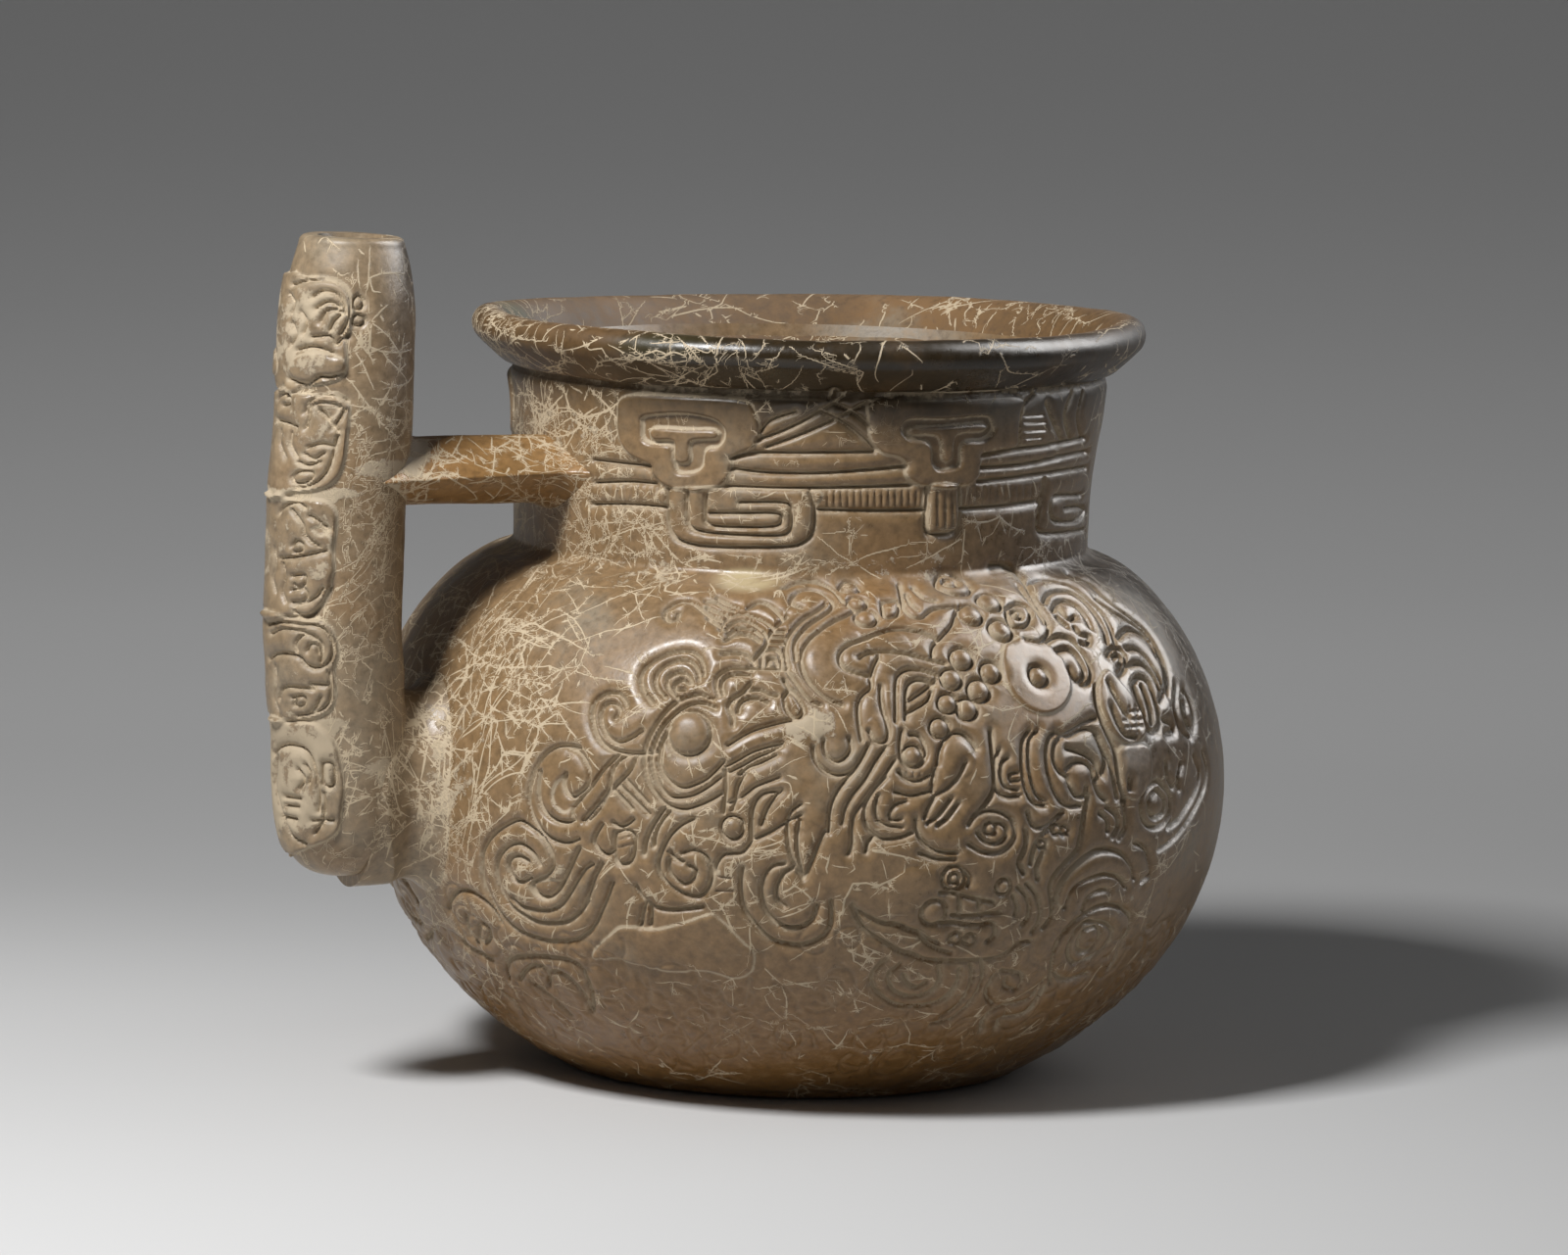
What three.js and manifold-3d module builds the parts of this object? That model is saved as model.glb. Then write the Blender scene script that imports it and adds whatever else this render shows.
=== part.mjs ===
// A hand-built spouted jar: a round body raised in wall courses on a flat base, a collar neck with an
// everted rim, and an upright tube spout that is joined to the belly and braced to the neck by a bar.
// Millimetres, +Z up. The origin is the centre of the flat foot, and the spout stands on the -X side.
import * as THREE from 'three';
import { mergeVertices } from 'three/addons/utils/BufferGeometryUtils.js';
import Module from 'manifold-3d';

const wasm = await Module();
wasm.setup();

// Body
const FOOT_RADIUS = 32.2;
const BELLY_RADIUS = 64.8;
const BELLY_HEIGHT = 44.1;
const SHOULDER_HEIGHT = 78.3;
const LOWER_BULGE = 2.08;
const LOWER_FULLNESS = 1.31;
const UPPER_BULGE = 2;
const UPPER_FULLNESS = 1.6;
const WALL = 5;
const FLOOR_THICKNESS = 6;
const COURSE_HEIGHTS = [6, 30, 63];

// Neck and rim
const NECK_RADIUS = 43.2;
const NECK_FLARE = 1.2;
const NECK_WALL = 4.4;
const NECK_HEIGHT = 26.5;
const RIM_HEIGHT = 9.4;
const RIM_OVERHANG = 7.4;
const LIP_RADIUS = 2.4;
const LIP_UNDERCUT = -40;
const LIP_INNER = 140;
const FLARE_HOLLOW = 1.1;

// Spout, placed by its distance from the belly and its drop below the belly line
const SPOUT_STAND_OFF = 12.6;
const SPOUT_DROP = 11.7;
const SPOUT_LENGTH = 94.2;
const SPOUT_LEAN = 1.05;
const SPOUT_RADIUS = 9.9;
const SPOUT_BASE_ROUND = 14.4;
const SPOUT_BASE_FULLNESS = 2.3;
const SPOUT_CAP_LENGTH = 6.4;
const SPOUT_MOUTH_LENGTH = 13.5;
const SPOUT_LIP_RADIUS = 7.9;
const SPOUT_LIP_ROUND = 1;
const SPOUT_BORE = 4.6;
const CHANNEL_LIFT = 2.7;
const CHANNEL_RADIUS = 4;
const PAD_HALF_WIDTH = 7.6;
const PAD_HALF_HEIGHT = 12.5;
const PAD_THICKNESS = 6.5;

// Bar between spout and neck, with its middle at a height above the shoulder
const BAR_LIFT = 13.3;
const BAR_HALF_WIDTH = 9;
const BAR_RISE = 5.5;
const BAR_CROWN = 6;
const BAR_KEEL = 5;

// Raised carving. Glyph blocks climb the spout from its foot, and the neck's signs hang from its top.
const RELIEF = 1.1;
const GLYPH_HALF_WIDTH = 9.2;
const GLYPH_CORNER = 4;
const GLYPH_START = 2.8;
const GLYPH_SPACE = 1.2;
const GLYPH_LENGTHS = [20.2, 15.1, 15.9, 14, 15.4];
const SIGN_DROP = 0.7;
const SIGN_WIDTH = 22;
const SIGN_CAP_HEIGHT = 7.4;
const SIGN_HEIGHT = 12.4;
const SIGN_LOBE = 11.4;
const SIGN_CORNER = 3;
const SIGN_ANGLES = [38.2, 89.9];
const BAND_SPACE = 0.4;
const BAND_HEIGHT = 3.8;
const BRACKET_SPACE = 0.5;
const BRACKET_WIDTH = 20;
const BRACKET_HEIGHT = 8.5;
const BRACKET_CORNER = 2.4;
const BRACKET_ANGLES = [49.4, 125];
const TAB_WIDTH = 4.8;
const TAB_HEIGHT = 6;
const TAB_ANGLE = 88.6;
const CORD_HEIGHT = 2.8;
const BAR_SETBACK = 2.3;

// Fit and smoothness
const JOINT_GAP = 0.3;
const BODY_SEGMENTS = 48;
const SPOUT_SEGMENTS = 28;
const COURSE_STEPS = 5;
const ARC_STEPS = 4;
const CORNER_STEPS = 2;
const ROUND_STEPS = 12;

// Heights and places that follow from the sizes above
const NECK_TOP = SHOULDER_HEIGHT + NECK_HEIGHT;
const RIM_TOP = NECK_TOP + RIM_HEIGHT;
const RIM_RADIUS = NECK_RADIUS + RIM_OVERHANG;
const SPOUT_OFFSET = BELLY_RADIUS + SPOUT_STAND_OFF;
const SPOUT_BASE = BELLY_HEIGHT - SPOUT_DROP;
const SPOUT_CAP_HEIGHT = SPOUT_BASE + SPOUT_CAP_LENGTH;
const SPOUT_TOP = SPOUT_BASE + SPOUT_LENGTH;
const SPOUT_LIP_HEIGHT = SPOUT_TOP - SPOUT_MOUTH_LENGTH;
const CHANNEL_HEIGHT = BELLY_HEIGHT + CHANNEL_LIFT;
const BAR_HEIGHT = SHOULDER_HEIGHT + BAR_LIFT;
const SIGN_TOP = NECK_TOP - SIGN_DROP;
const SIGN_WAIST = SIGN_TOP - SIGN_CAP_HEIGHT;
const SIGN_BOTTOM = SIGN_TOP - SIGN_HEIGHT;
const BAND_TOP = SIGN_WAIST - BAND_SPACE;
const BAND_BOTTOM = BAND_TOP - BAND_HEIGHT;
const BRACKET_TOP = SIGN_BOTTOM - BRACKET_SPACE;
const BRACKET_BOTTOM = BRACKET_TOP - BRACKET_HEIGHT;
const TAB_BOTTOM = BRACKET_TOP - TAB_HEIGHT;
const CORD_BOTTOM = BRACKET_TOP - CORD_HEIGHT;

const radians = (degrees) => (degrees * Math.PI) / 180;
const point = (x, y) => new THREE.Vector2(x, y);

// Solids

function solid(geometry) {
  const bare = geometry.index ? geometry.toNonIndexed() : geometry.clone();
  for (const name of ['normal', 'uv']) bare.deleteAttribute(name);
  const merged = mergeVertices(bare, 1e-4);
  const triVerts = new Uint32Array(merged.index.array);
  const vertProperties = new Float32Array(merged.attributes.position.array);
  const made = new wasm.Manifold(new wasm.Mesh({ numProp: 3, vertProperties, triVerts }));
  if (made.volume() > 0) return made;
  for (let i = 0; i < triVerts.length; i += 3) {
    [triVerts[i + 1], triVerts[i + 2]] = [triVerts[i + 2], triVerts[i + 1]];
  }
  return new wasm.Manifold(new wasm.Mesh({ numProp: 3, vertProperties, triVerts }));
}

function geometryOf(manifold) {
  const mesh = manifold.getMesh();
  const positions = new Float32Array(mesh.numVert * 3);
  for (let i = 0; i < mesh.numVert; i += 1) {
    positions.set(mesh.vertProperties.subarray(i * mesh.numProp, i * mesh.numProp + 3), i * 3);
  }
  const geometry = new THREE.BufferGeometry();
  geometry.setAttribute('position', new THREE.BufferAttribute(positions, 3));
  geometry.setIndex(new THREE.BufferAttribute(new Uint32Array(mesh.triVerts), 1));
  geometry.computeVertexNormals();
  return geometry;
}

// A closed profile of radius and height, turned about the Z axis.
function turned(profile, segments) {
  const first = profile[0];
  const last = profile[profile.length - 1];
  const onAxis = first.x === 0 && last.x === 0;
  const closed = onAxis ? profile : [...profile, first.clone()];
  return solid(new THREE.LatheGeometry(closed, segments).rotateX(Math.PI / 2));
}

// An outline across Y and up Z, drawn out along X from one place to another.
function prismAlongX(shape, from, to, curveSegments = CORNER_STEPS) {
  const geometry = new THREE.ExtrudeGeometry(shape, { depth: to - from, bevelEnabled: false, curveSegments });
  geometry.rotateX(Math.PI / 2).rotateZ(Math.PI / 2).translate(from, 0, 0);
  return solid(geometry);
}

// Angles are counted round the jar from the spout, and positive ones come towards -Y.
function aroundJar(manifold, angle) {
  return manifold.rotate([0, 0, 180 + angle]);
}

function roundedRectangle(low, high, left, right, corner) {
  const shape = new THREE.Shape();
  shape.moveTo(left + corner, low);
  shape.lineTo(right - corner, low);
  shape.absarc(right - corner, low + corner, corner, -Math.PI / 2, 0);
  shape.lineTo(right, high - corner);
  shape.absarc(right - corner, high - corner, corner, 0, Math.PI / 2);
  shape.lineTo(left + corner, high);
  shape.absarc(left + corner, high - corner, corner, Math.PI / 2, Math.PI);
  shape.lineTo(left, low + corner);
  shape.absarc(left + corner, low + corner, corner, Math.PI, 1.5 * Math.PI);
  return shape;
}

// Body profile: radius of the outer wall at a height, as two bulging quarters that meet at the belly.

function bodyRadius(height) {
  if (height < BELLY_HEIGHT) {
    const drop = (BELLY_HEIGHT - height) / BELLY_HEIGHT;
    const share = (1 - drop ** LOWER_BULGE) ** (1 / LOWER_FULLNESS);
    return FOOT_RADIUS + (BELLY_RADIUS - FOOT_RADIUS) * share;
  }
  const rise = Math.min(1, (height - BELLY_HEIGHT) / (SHOULDER_HEIGHT - BELLY_HEIGHT));
  const share = (1 - rise ** UPPER_BULGE) ** (1 / UPPER_FULLNESS);
  const mouth = NECK_RADIUS + JOINT_GAP;
  return mouth + (BELLY_RADIUS - mouth) * share;
}

function wallPoint(height, depth) {
  const step = 0.01;
  const low = Math.max(0, height - step);
  const high = Math.min(SHOULDER_HEIGHT, height + step);
  const along = point(bodyRadius(high) - bodyRadius(low), high - low).normalize();
  return point(bodyRadius(height) - depth * along.y, height + depth * along.x);
}

function neckRadius(height) {
  const rise = (height - SHOULDER_HEIGHT) / (NECK_TOP - SHOULDER_HEIGHT);
  return NECK_RADIUS + NECK_FLARE * Math.max(0, rise) ** 2;
}

function heights(low, high, steps) {
  return Array.from({ length: steps + 1 }, (_, i) => low + ((high - low) * i) / steps);
}

function wallCourse(low, high) {
  const rows = heights(low + JOINT_GAP / 2, high - JOINT_GAP / 2, COURSE_STEPS);
  const outer = rows.map((height) => wallPoint(height, 0));
  const inner = rows.map((height) => wallPoint(height, WALL)).reverse();
  return turned([...outer, ...inner], BODY_SEGMENTS);
}

// The last course closes over to the neck, so its rows gather towards the top.
function shoulderCourse(low) {
  const start = low + JOINT_GAP / 2;
  const rows = heights(0, 1, COURSE_STEPS + 2).map(
    (share) => start + (SHOULDER_HEIGHT - start) * Math.sin((share * Math.PI) / 2),
  );
  const outer = rows.map((height) => wallPoint(height, 0));
  const inner = rows.slice(0, -1).map((height) => wallPoint(height, WALL));
  const mouth = point(outer[outer.length - 1].x, SHOULDER_HEIGHT - WALL);
  return turned([...outer, mouth, ...inner.reverse()], BODY_SEGMENTS);
}

function baseDisc() {
  const edge = COURSE_HEIGHTS[0] - JOINT_GAP / 2;
  const outer = heights(0, edge, ARC_STEPS).map((height) => wallPoint(height, 0));
  const lip = wallPoint(edge, WALL);
  const floorEdge = point(lip.x - WALL, FLOOR_THICKNESS);
  return turned([point(0, 0), ...outer, lip, floorEdge, point(0, FLOOR_THICKNESS)], BODY_SEGMENTS);
}

// The neck passes down through the mouth of the shoulder to the inside of the wall.
function neckCollar() {
  const rows = heights(SHOULDER_HEIGHT, NECK_TOP - JOINT_GAP / 2, COURSE_STEPS);
  const bottom = SHOULDER_HEIGHT - WALL;
  const outer = [point(NECK_RADIUS, bottom), ...rows.map((height) => point(neckRadius(height), height))];
  const inner = outer.map((p) => point(p.x - NECK_WALL, p.y)).reverse();
  return turned([...outer, ...inner], BODY_SEGMENTS);
}

function rimFlare() {
  const bottom = NECK_TOP + JOINT_GAP / 2;
  const centre = point(RIM_RADIUS - LIP_RADIUS, RIM_TOP - LIP_RADIUS);
  const lip = heights(LIP_UNDERCUT, LIP_INNER, 2 * ARC_STEPS).map((angle) =>
    point(
      centre.x + LIP_RADIUS * Math.cos(radians(angle)),
      centre.y + LIP_RADIUS * Math.sin(radians(angle)),
    ),
  );
  const foot = neckRadius(NECK_TOP);
  const hollow = point((foot + lip[0].x) / 2 - FLARE_HOLLOW, (bottom + lip[0].y) / 2 + FLARE_HOLLOW / 2);
  return turned([point(foot, bottom), hollow, ...lip, point(foot - NECK_WALL, bottom)], BODY_SEGMENTS);
}

// Spout, drawn upright on the Z axis and then leaned and moved to its place

function spoutRadius(height) {
  const roundStart = SPOUT_BASE + SPOUT_BASE_ROUND;
  if (height < roundStart) {
    const drop = Math.min(1, (roundStart - height) / SPOUT_BASE_ROUND);
    return SPOUT_RADIUS * (1 - drop ** SPOUT_BASE_FULLNESS) ** (1 / SPOUT_BASE_FULLNESS);
  }
  if (height > SPOUT_LIP_HEIGHT) {
    const rise = (height - SPOUT_LIP_HEIGHT) / (SPOUT_TOP - SPOUT_LIP_HEIGHT);
    return SPOUT_RADIUS - (SPOUT_RADIUS - SPOUT_LIP_RADIUS) * rise ** 2;
  }
  return SPOUT_RADIUS;
}

// Rows gather towards the rounded foot of the spout, and every piece that follows it shares them.
function spoutRows(low, high) {
  const round = heights(0, 90, 2 * ARC_STEPS).map(
    (angle) => SPOUT_BASE + SPOUT_BASE_ROUND * (1 - Math.cos(radians(angle))),
  );
  const mouth = heights(SPOUT_LIP_HEIGHT, SPOUT_TOP, ARC_STEPS);
  const inside = (height) => height > low + JOINT_GAP && height < high - JOINT_GAP;
  const between = [...round, ...mouth].filter(inside);
  return [low, ...between, high];
}

function spoutOutline(low, high, grow = 0) {
  return spoutRows(low, high).map((height) => point(spoutRadius(height) + grow, height));
}

function spoutPlace(manifold) {
  return manifold
    .translate([0, 0, -BELLY_HEIGHT])
    .rotate([0, SPOUT_LEAN, 0])
    .translate([-SPOUT_OFFSET, 0, BELLY_HEIGHT]);
}

function spoutCap() {
  const top = SPOUT_CAP_HEIGHT - JOINT_GAP / 2;
  const outer = spoutOutline(SPOUT_BASE, top).slice(1);
  return turned([point(0, SPOUT_BASE), ...outer, point(0, top)], SPOUT_SEGMENTS);
}

function spoutMouth() {
  const low = SPOUT_LIP_HEIGHT + JOINT_GAP / 2;
  const shoulder = SPOUT_TOP - SPOUT_LIP_ROUND;
  const edge = spoutRadius(shoulder) - SPOUT_LIP_ROUND;
  const round = heights(0, 90, 3)
    .slice(1)
    .map((angle) =>
      point(
        edge + SPOUT_LIP_ROUND * Math.cos(radians(angle)),
        shoulder + SPOUT_LIP_ROUND * Math.sin(radians(angle)),
      ),
    );
  const bore = [point(SPOUT_BORE, SPOUT_TOP), point(SPOUT_BORE, low)];
  return turned([...spoutOutline(low, shoulder), ...round, ...bore], SPOUT_SEGMENTS);
}

// Space that a piece keeps clear of: the whole body or spout, a little larger than it is.

function bodySpace(grow) {
  const rows = heights(0, SHOULDER_HEIGHT, 4 * COURSE_STEPS);
  const outer = rows.map((height) => point(bodyRadius(height) + grow, height));
  return turned([point(0, 0), ...outer, point(0, SHOULDER_HEIGHT)], BODY_SEGMENTS);
}

function neckSpace(grow) {
  const rows = heights(SHOULDER_HEIGHT - WALL, NECK_TOP, COURSE_STEPS);
  const outer = rows.map((height) => point(neckRadius(height) + grow, height));
  return turned([point(0, rows[0]), ...outer, point(0, NECK_TOP)], BODY_SEGMENTS);
}

function spoutSpace(grow) {
  const outer = spoutOutline(SPOUT_BASE, SPOUT_LIP_HEIGHT, grow);
  const full = [point(0, SPOUT_BASE), ...outer, point(0, SPOUT_LIP_HEIGHT)];
  return spoutPlace(turned(full, SPOUT_SEGMENTS));
}

const padFace = () => -(BELLY_RADIUS + PAD_THICKNESS);

function padOutline(grow) {
  const shape = new THREE.Shape();
  shape.absellipse(0, CHANNEL_HEIGHT, PAD_HALF_WIDTH + grow, PAD_HALF_HEIGHT + grow, 0, 2 * Math.PI);
  return shape;
}

function padBlock(grow, to) {
  return prismAlongX(padOutline(grow), padFace() - grow, to, ROUND_STEPS);
}

function channel() {
  const shape = new THREE.Shape();
  shape.absarc(0, CHANNEL_HEIGHT, CHANNEL_RADIUS, 0, 2 * Math.PI);
  return prismAlongX(shape, -SPOUT_OFFSET, -(BELLY_RADIUS - 3 * WALL), ROUND_STEPS);
}

function jointPad() {
  return padBlock(0, -(BELLY_RADIUS - WALL)).subtract(bodySpace(JOINT_GAP)).subtract(channel());
}

function spoutTube() {
  const low = SPOUT_CAP_HEIGHT + JOINT_GAP / 2;
  const high = SPOUT_LIP_HEIGHT - JOINT_GAP / 2;
  const bore = [point(SPOUT_BORE, high), point(SPOUT_BORE, low)];
  return spoutPlace(turned([...spoutOutline(low, high), ...bore], SPOUT_SEGMENTS))
    .subtract(padBlock(JOINT_GAP, 0))
    .subtract(channel());
}

function braceBar() {
  const top = BAR_HEIGHT + BAR_RISE;
  const bottom = BAR_HEIGHT - BAR_RISE;
  const outline = new THREE.Shape();
  outline.moveTo(-BAR_HALF_WIDTH, BAR_HEIGHT);
  outline.quadraticCurveTo(-BAR_HALF_WIDTH, bottom, -BAR_KEEL, bottom);
  outline.lineTo(BAR_KEEL, bottom);
  outline.quadraticCurveTo(BAR_HALF_WIDTH, bottom, BAR_HALF_WIDTH, BAR_HEIGHT);
  outline.quadraticCurveTo(BAR_CROWN, top, 0, top);
  outline.quadraticCurveTo(-BAR_CROWN, top, -BAR_HALF_WIDTH, BAR_HEIGHT);
  return prismAlongX(outline, -SPOUT_OFFSET, -NECK_RADIUS / 2)
    .subtract(spoutSpace(JOINT_GAP))
    .subtract(neckSpace(JOINT_GAP));
}

// Raised carving: a thin skin over the neck or the spout, cut to an outline.

function neckSkin(low, high) {
  const rows = heights(low, high, 2);
  const near = rows.map((height) => point(neckRadius(height) + JOINT_GAP, height));
  const far = rows.map((height) => point(neckRadius(height) + JOINT_GAP + RELIEF, height)).reverse();
  return turned([...near, ...far], BODY_SEGMENTS);
}

function neckPanel(shape, low, high, angle) {
  const reach = 2 * NECK_RADIUS;
  const cutter = aroundJar(prismAlongX(shape, NECK_RADIUS / 2, reach), angle);
  return neckSkin(low, high).intersect(cutter);
}

function signPlaque(angle) {
  const half = SIGN_WIDTH / 2;
  const cap = roundedRectangle(SIGN_WAIST, SIGN_TOP, -half, half, SIGN_CORNER);
  const lobe = roundedRectangle(SIGN_BOTTOM, SIGN_TOP, -SIGN_LOBE / 2, SIGN_LOBE / 2, SIGN_CORNER);
  return neckPanel(cap, SIGN_BOTTOM, SIGN_TOP, angle).add(neckPanel(lobe, SIGN_BOTTOM, SIGN_TOP, angle));
}

function bracket(angle) {
  const half = BRACKET_WIDTH / 2;
  const shape = roundedRectangle(BRACKET_BOTTOM, BRACKET_TOP, -half, half, BRACKET_CORNER);
  return neckPanel(shape, BRACKET_BOTTOM, BRACKET_TOP, angle);
}

function tab(angle) {
  const shape = roundedRectangle(TAB_BOTTOM, BRACKET_TOP, -TAB_WIDTH / 2, TAB_WIDTH / 2, TAB_WIDTH / 4);
  return neckPanel(shape, TAB_BOTTOM, BRACKET_TOP, angle);
}

function band(low, high, from, to) {
  const reach = 4 * NECK_RADIUS;
  const wedge = new THREE.Shape();
  wedge.moveTo(0, 0);
  for (const angle of heights(from, to, 4)) {
    wedge.lineTo(-reach * Math.cos(radians(angle)), -reach * Math.sin(radians(angle)));
  }
  const geometry = new THREE.ExtrudeGeometry(wedge, { depth: NECK_TOP, bevelEnabled: false });
  return neckSkin(low, high).intersect(solid(geometry));
}

function glyphBlock(low, high) {
  const near = spoutOutline(low, high, JOINT_GAP);
  const far = spoutOutline(low, high, JOINT_GAP + RELIEF).reverse();
  const shape = roundedRectangle(low, high, -GLYPH_HALF_WIDTH, GLYPH_HALF_WIDTH, GLYPH_CORNER);
  const front = prismAlongX(shape, -2 * SPOUT_RADIUS, -SPOUT_RADIUS / 4);
  return spoutPlace(turned([...near, ...far], SPOUT_SEGMENTS).intersect(front));
}

// Finish

const slip = new THREE.MeshStandardMaterial({ color: 0x6f5338, roughness: 0.42, metalness: 0 });
const rubbedSlip = new THREE.MeshStandardMaterial({ color: 0x7a6248, roughness: 0.5, metalness: 0 });
const carvedSlip = new THREE.MeshStandardMaterial({ color: 0x8a7558, roughness: 0.6, metalness: 0 });

const jar = new THREE.Group();

function add(name, manifold, material) {
  const mesh = new THREE.Mesh(geometryOf(manifold), material);
  mesh.name = name;
  jar.add(mesh);
}

// Assembly

const [bowlStart, bellyStart, shoulderStart] = COURSE_HEIGHTS;
add('base_disc', baseDisc(), slip);
add('lower_bowl', wallCourse(bowlStart, bellyStart), slip);
add('belly_wall', wallCourse(bellyStart, shoulderStart).subtract(channel()), slip);
add('shoulder', shoulderCourse(shoulderStart), slip);
add('neck_collar', neckCollar(), rubbedSlip);
add('rim_flare', rimFlare(), slip);

add('spout_end_cap', spoutPlace(spoutCap()).subtract(padBlock(JOINT_GAP, 0)), rubbedSlip);
add('spout_tube', spoutTube(), rubbedSlip);
add('spout_mouth', spoutPlace(spoutMouth()), rubbedSlip);
add('spout_joint_pad', jointPad(), rubbedSlip);
add('brace_bar', braceBar(), slip);

let glyphFoot = SPOUT_BASE + GLYPH_START;
GLYPH_LENGTHS.forEach((length, i) => {
  add(`glyph_block_${i + 1}`, glyphBlock(glyphFoot, glyphFoot + length), carvedSlip);
  glyphFoot += length + GLYPH_SPACE;
});

const degreesOf = (width) => (width / NECK_RADIUS) * (180 / Math.PI);
const signHalf = degreesOf(SIGN_LOBE / 2 + JOINT_GAP);
const bracketHalf = degreesOf(BRACKET_WIDTH / 2 + 2 * JOINT_GAP);
const tabHalf = degreesOf(TAB_WIDTH / 2 + JOINT_GAP);
const barHalf = degreesOf(BAR_HALF_WIDTH + BAR_SETBACK);

for (const [side, turn] of [['front', 1], ['back', -1]]) {
  SIGN_ANGLES.forEach((angle, i) => {
    add(`sign_plaque_${side}_${i + 1}`, signPlaque(turn * angle), carvedSlip);
  });
  BRACKET_ANGLES.forEach((angle, i) => {
    add(`bracket_${side}_${i + 1}`, bracket(turn * angle), carvedSlip);
  });
  add(`hanging_tab_${side}`, tab(turn * TAB_ANGLE), carvedSlip);

  const cordSpans = [
    [barHalf, BRACKET_ANGLES[0] - bracketHalf],
    [BRACKET_ANGLES[0] + bracketHalf, TAB_ANGLE - tabHalf],
    [TAB_ANGLE + tabHalf, BRACKET_ANGLES[1] - bracketHalf],
  ];
  cordSpans.forEach(([from, to], i) => {
    const cord = band(CORD_BOTTOM, BRACKET_TOP, turn * from, turn * to);
    add(`cord_band_${side}_${i + 1}`, cord, carvedSlip);
  });

  const bandSpans = [
    [barHalf, SIGN_ANGLES[0] - signHalf],
    [SIGN_ANGLES[0] + signHalf, SIGN_ANGLES[1] - signHalf],
  ];
  bandSpans.forEach(([from, to], i) => {
    const double = band(BAND_BOTTOM, BAND_TOP, turn * from, turn * to);
    add(`double_band_${side}_${i + 1}`, double, carvedSlip);
  });
}

const cordFar = BRACKET_ANGLES[1] + bracketHalf;
add('cord_band_far', band(CORD_BOTTOM, BRACKET_TOP, cordFar, 360 - cordFar), carvedSlip);
const bandFar = SIGN_ANGLES[1] + signHalf;
add('double_band_far', band(BAND_BOTTOM, BAND_TOP, bandFar, 360 - bandFar), carvedSlip);

export default jar;
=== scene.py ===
"""A carved clay jar with an upright tube spout, dressed over its plain solids and set on a grey sweep."""

import math

import bpy
import numpy as np
from bpy.props import FloatProperty, FloatVectorProperty, IntProperty, PointerProperty
from mathutils import Matrix, Vector, kdtree


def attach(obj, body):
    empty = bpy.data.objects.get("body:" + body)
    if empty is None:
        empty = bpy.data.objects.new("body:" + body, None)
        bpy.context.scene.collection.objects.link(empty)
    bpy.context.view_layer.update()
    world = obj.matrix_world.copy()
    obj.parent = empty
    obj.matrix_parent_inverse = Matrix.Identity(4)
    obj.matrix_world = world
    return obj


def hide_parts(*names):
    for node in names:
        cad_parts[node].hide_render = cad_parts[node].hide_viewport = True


bl_info = {
    "name": "Carved Spouted Jar",
    "version": (1, 0, 0),
    "blender": (4, 5, 0),
    "location": "View3D > Sidebar > Jar",
    "description": "Builds a carved clay jar with an upright spout and sets it on a studio sweep",
    "category": "Object",
}

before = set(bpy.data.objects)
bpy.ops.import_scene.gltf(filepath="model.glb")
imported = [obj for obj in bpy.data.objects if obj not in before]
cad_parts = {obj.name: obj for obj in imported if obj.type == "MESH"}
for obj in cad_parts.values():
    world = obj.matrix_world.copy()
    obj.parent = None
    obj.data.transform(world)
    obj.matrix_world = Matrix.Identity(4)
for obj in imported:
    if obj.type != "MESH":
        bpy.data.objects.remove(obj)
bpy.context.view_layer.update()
MM = 0.001

# Where the photograph was taken from, in its own pixels
PHOTO_CENTRE = (800.0, 640.5)
PHOTO_WIDTH = 1600
PHOTO_FOCAL = 8108.0
PHOTO_AZIMUTH = math.radians(-29.0)
PHOTO_ELEVATION = math.radians(6.94)
PHOTO_ROLL = math.radians(1.31)
PHOTO_DISTANCE = 1.2
PHOTO_AIM = (-0.00212, 0.06608)
# The side of the wall that it shows, as angles from the spout round by the front
NEAR_START = math.radians(-32.0)
NEAR_END = math.radians(154.0)
NEAR_MIDDLE = math.radians(90.0) + PHOTO_AZIMUTH
BODY_START = math.radians(-6.0)
# How far the clay sinks towards a carved line, and the wall left at the neck
PILLOW = 0.6 * MM
NECK_WALL = 4.4 * MM

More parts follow.
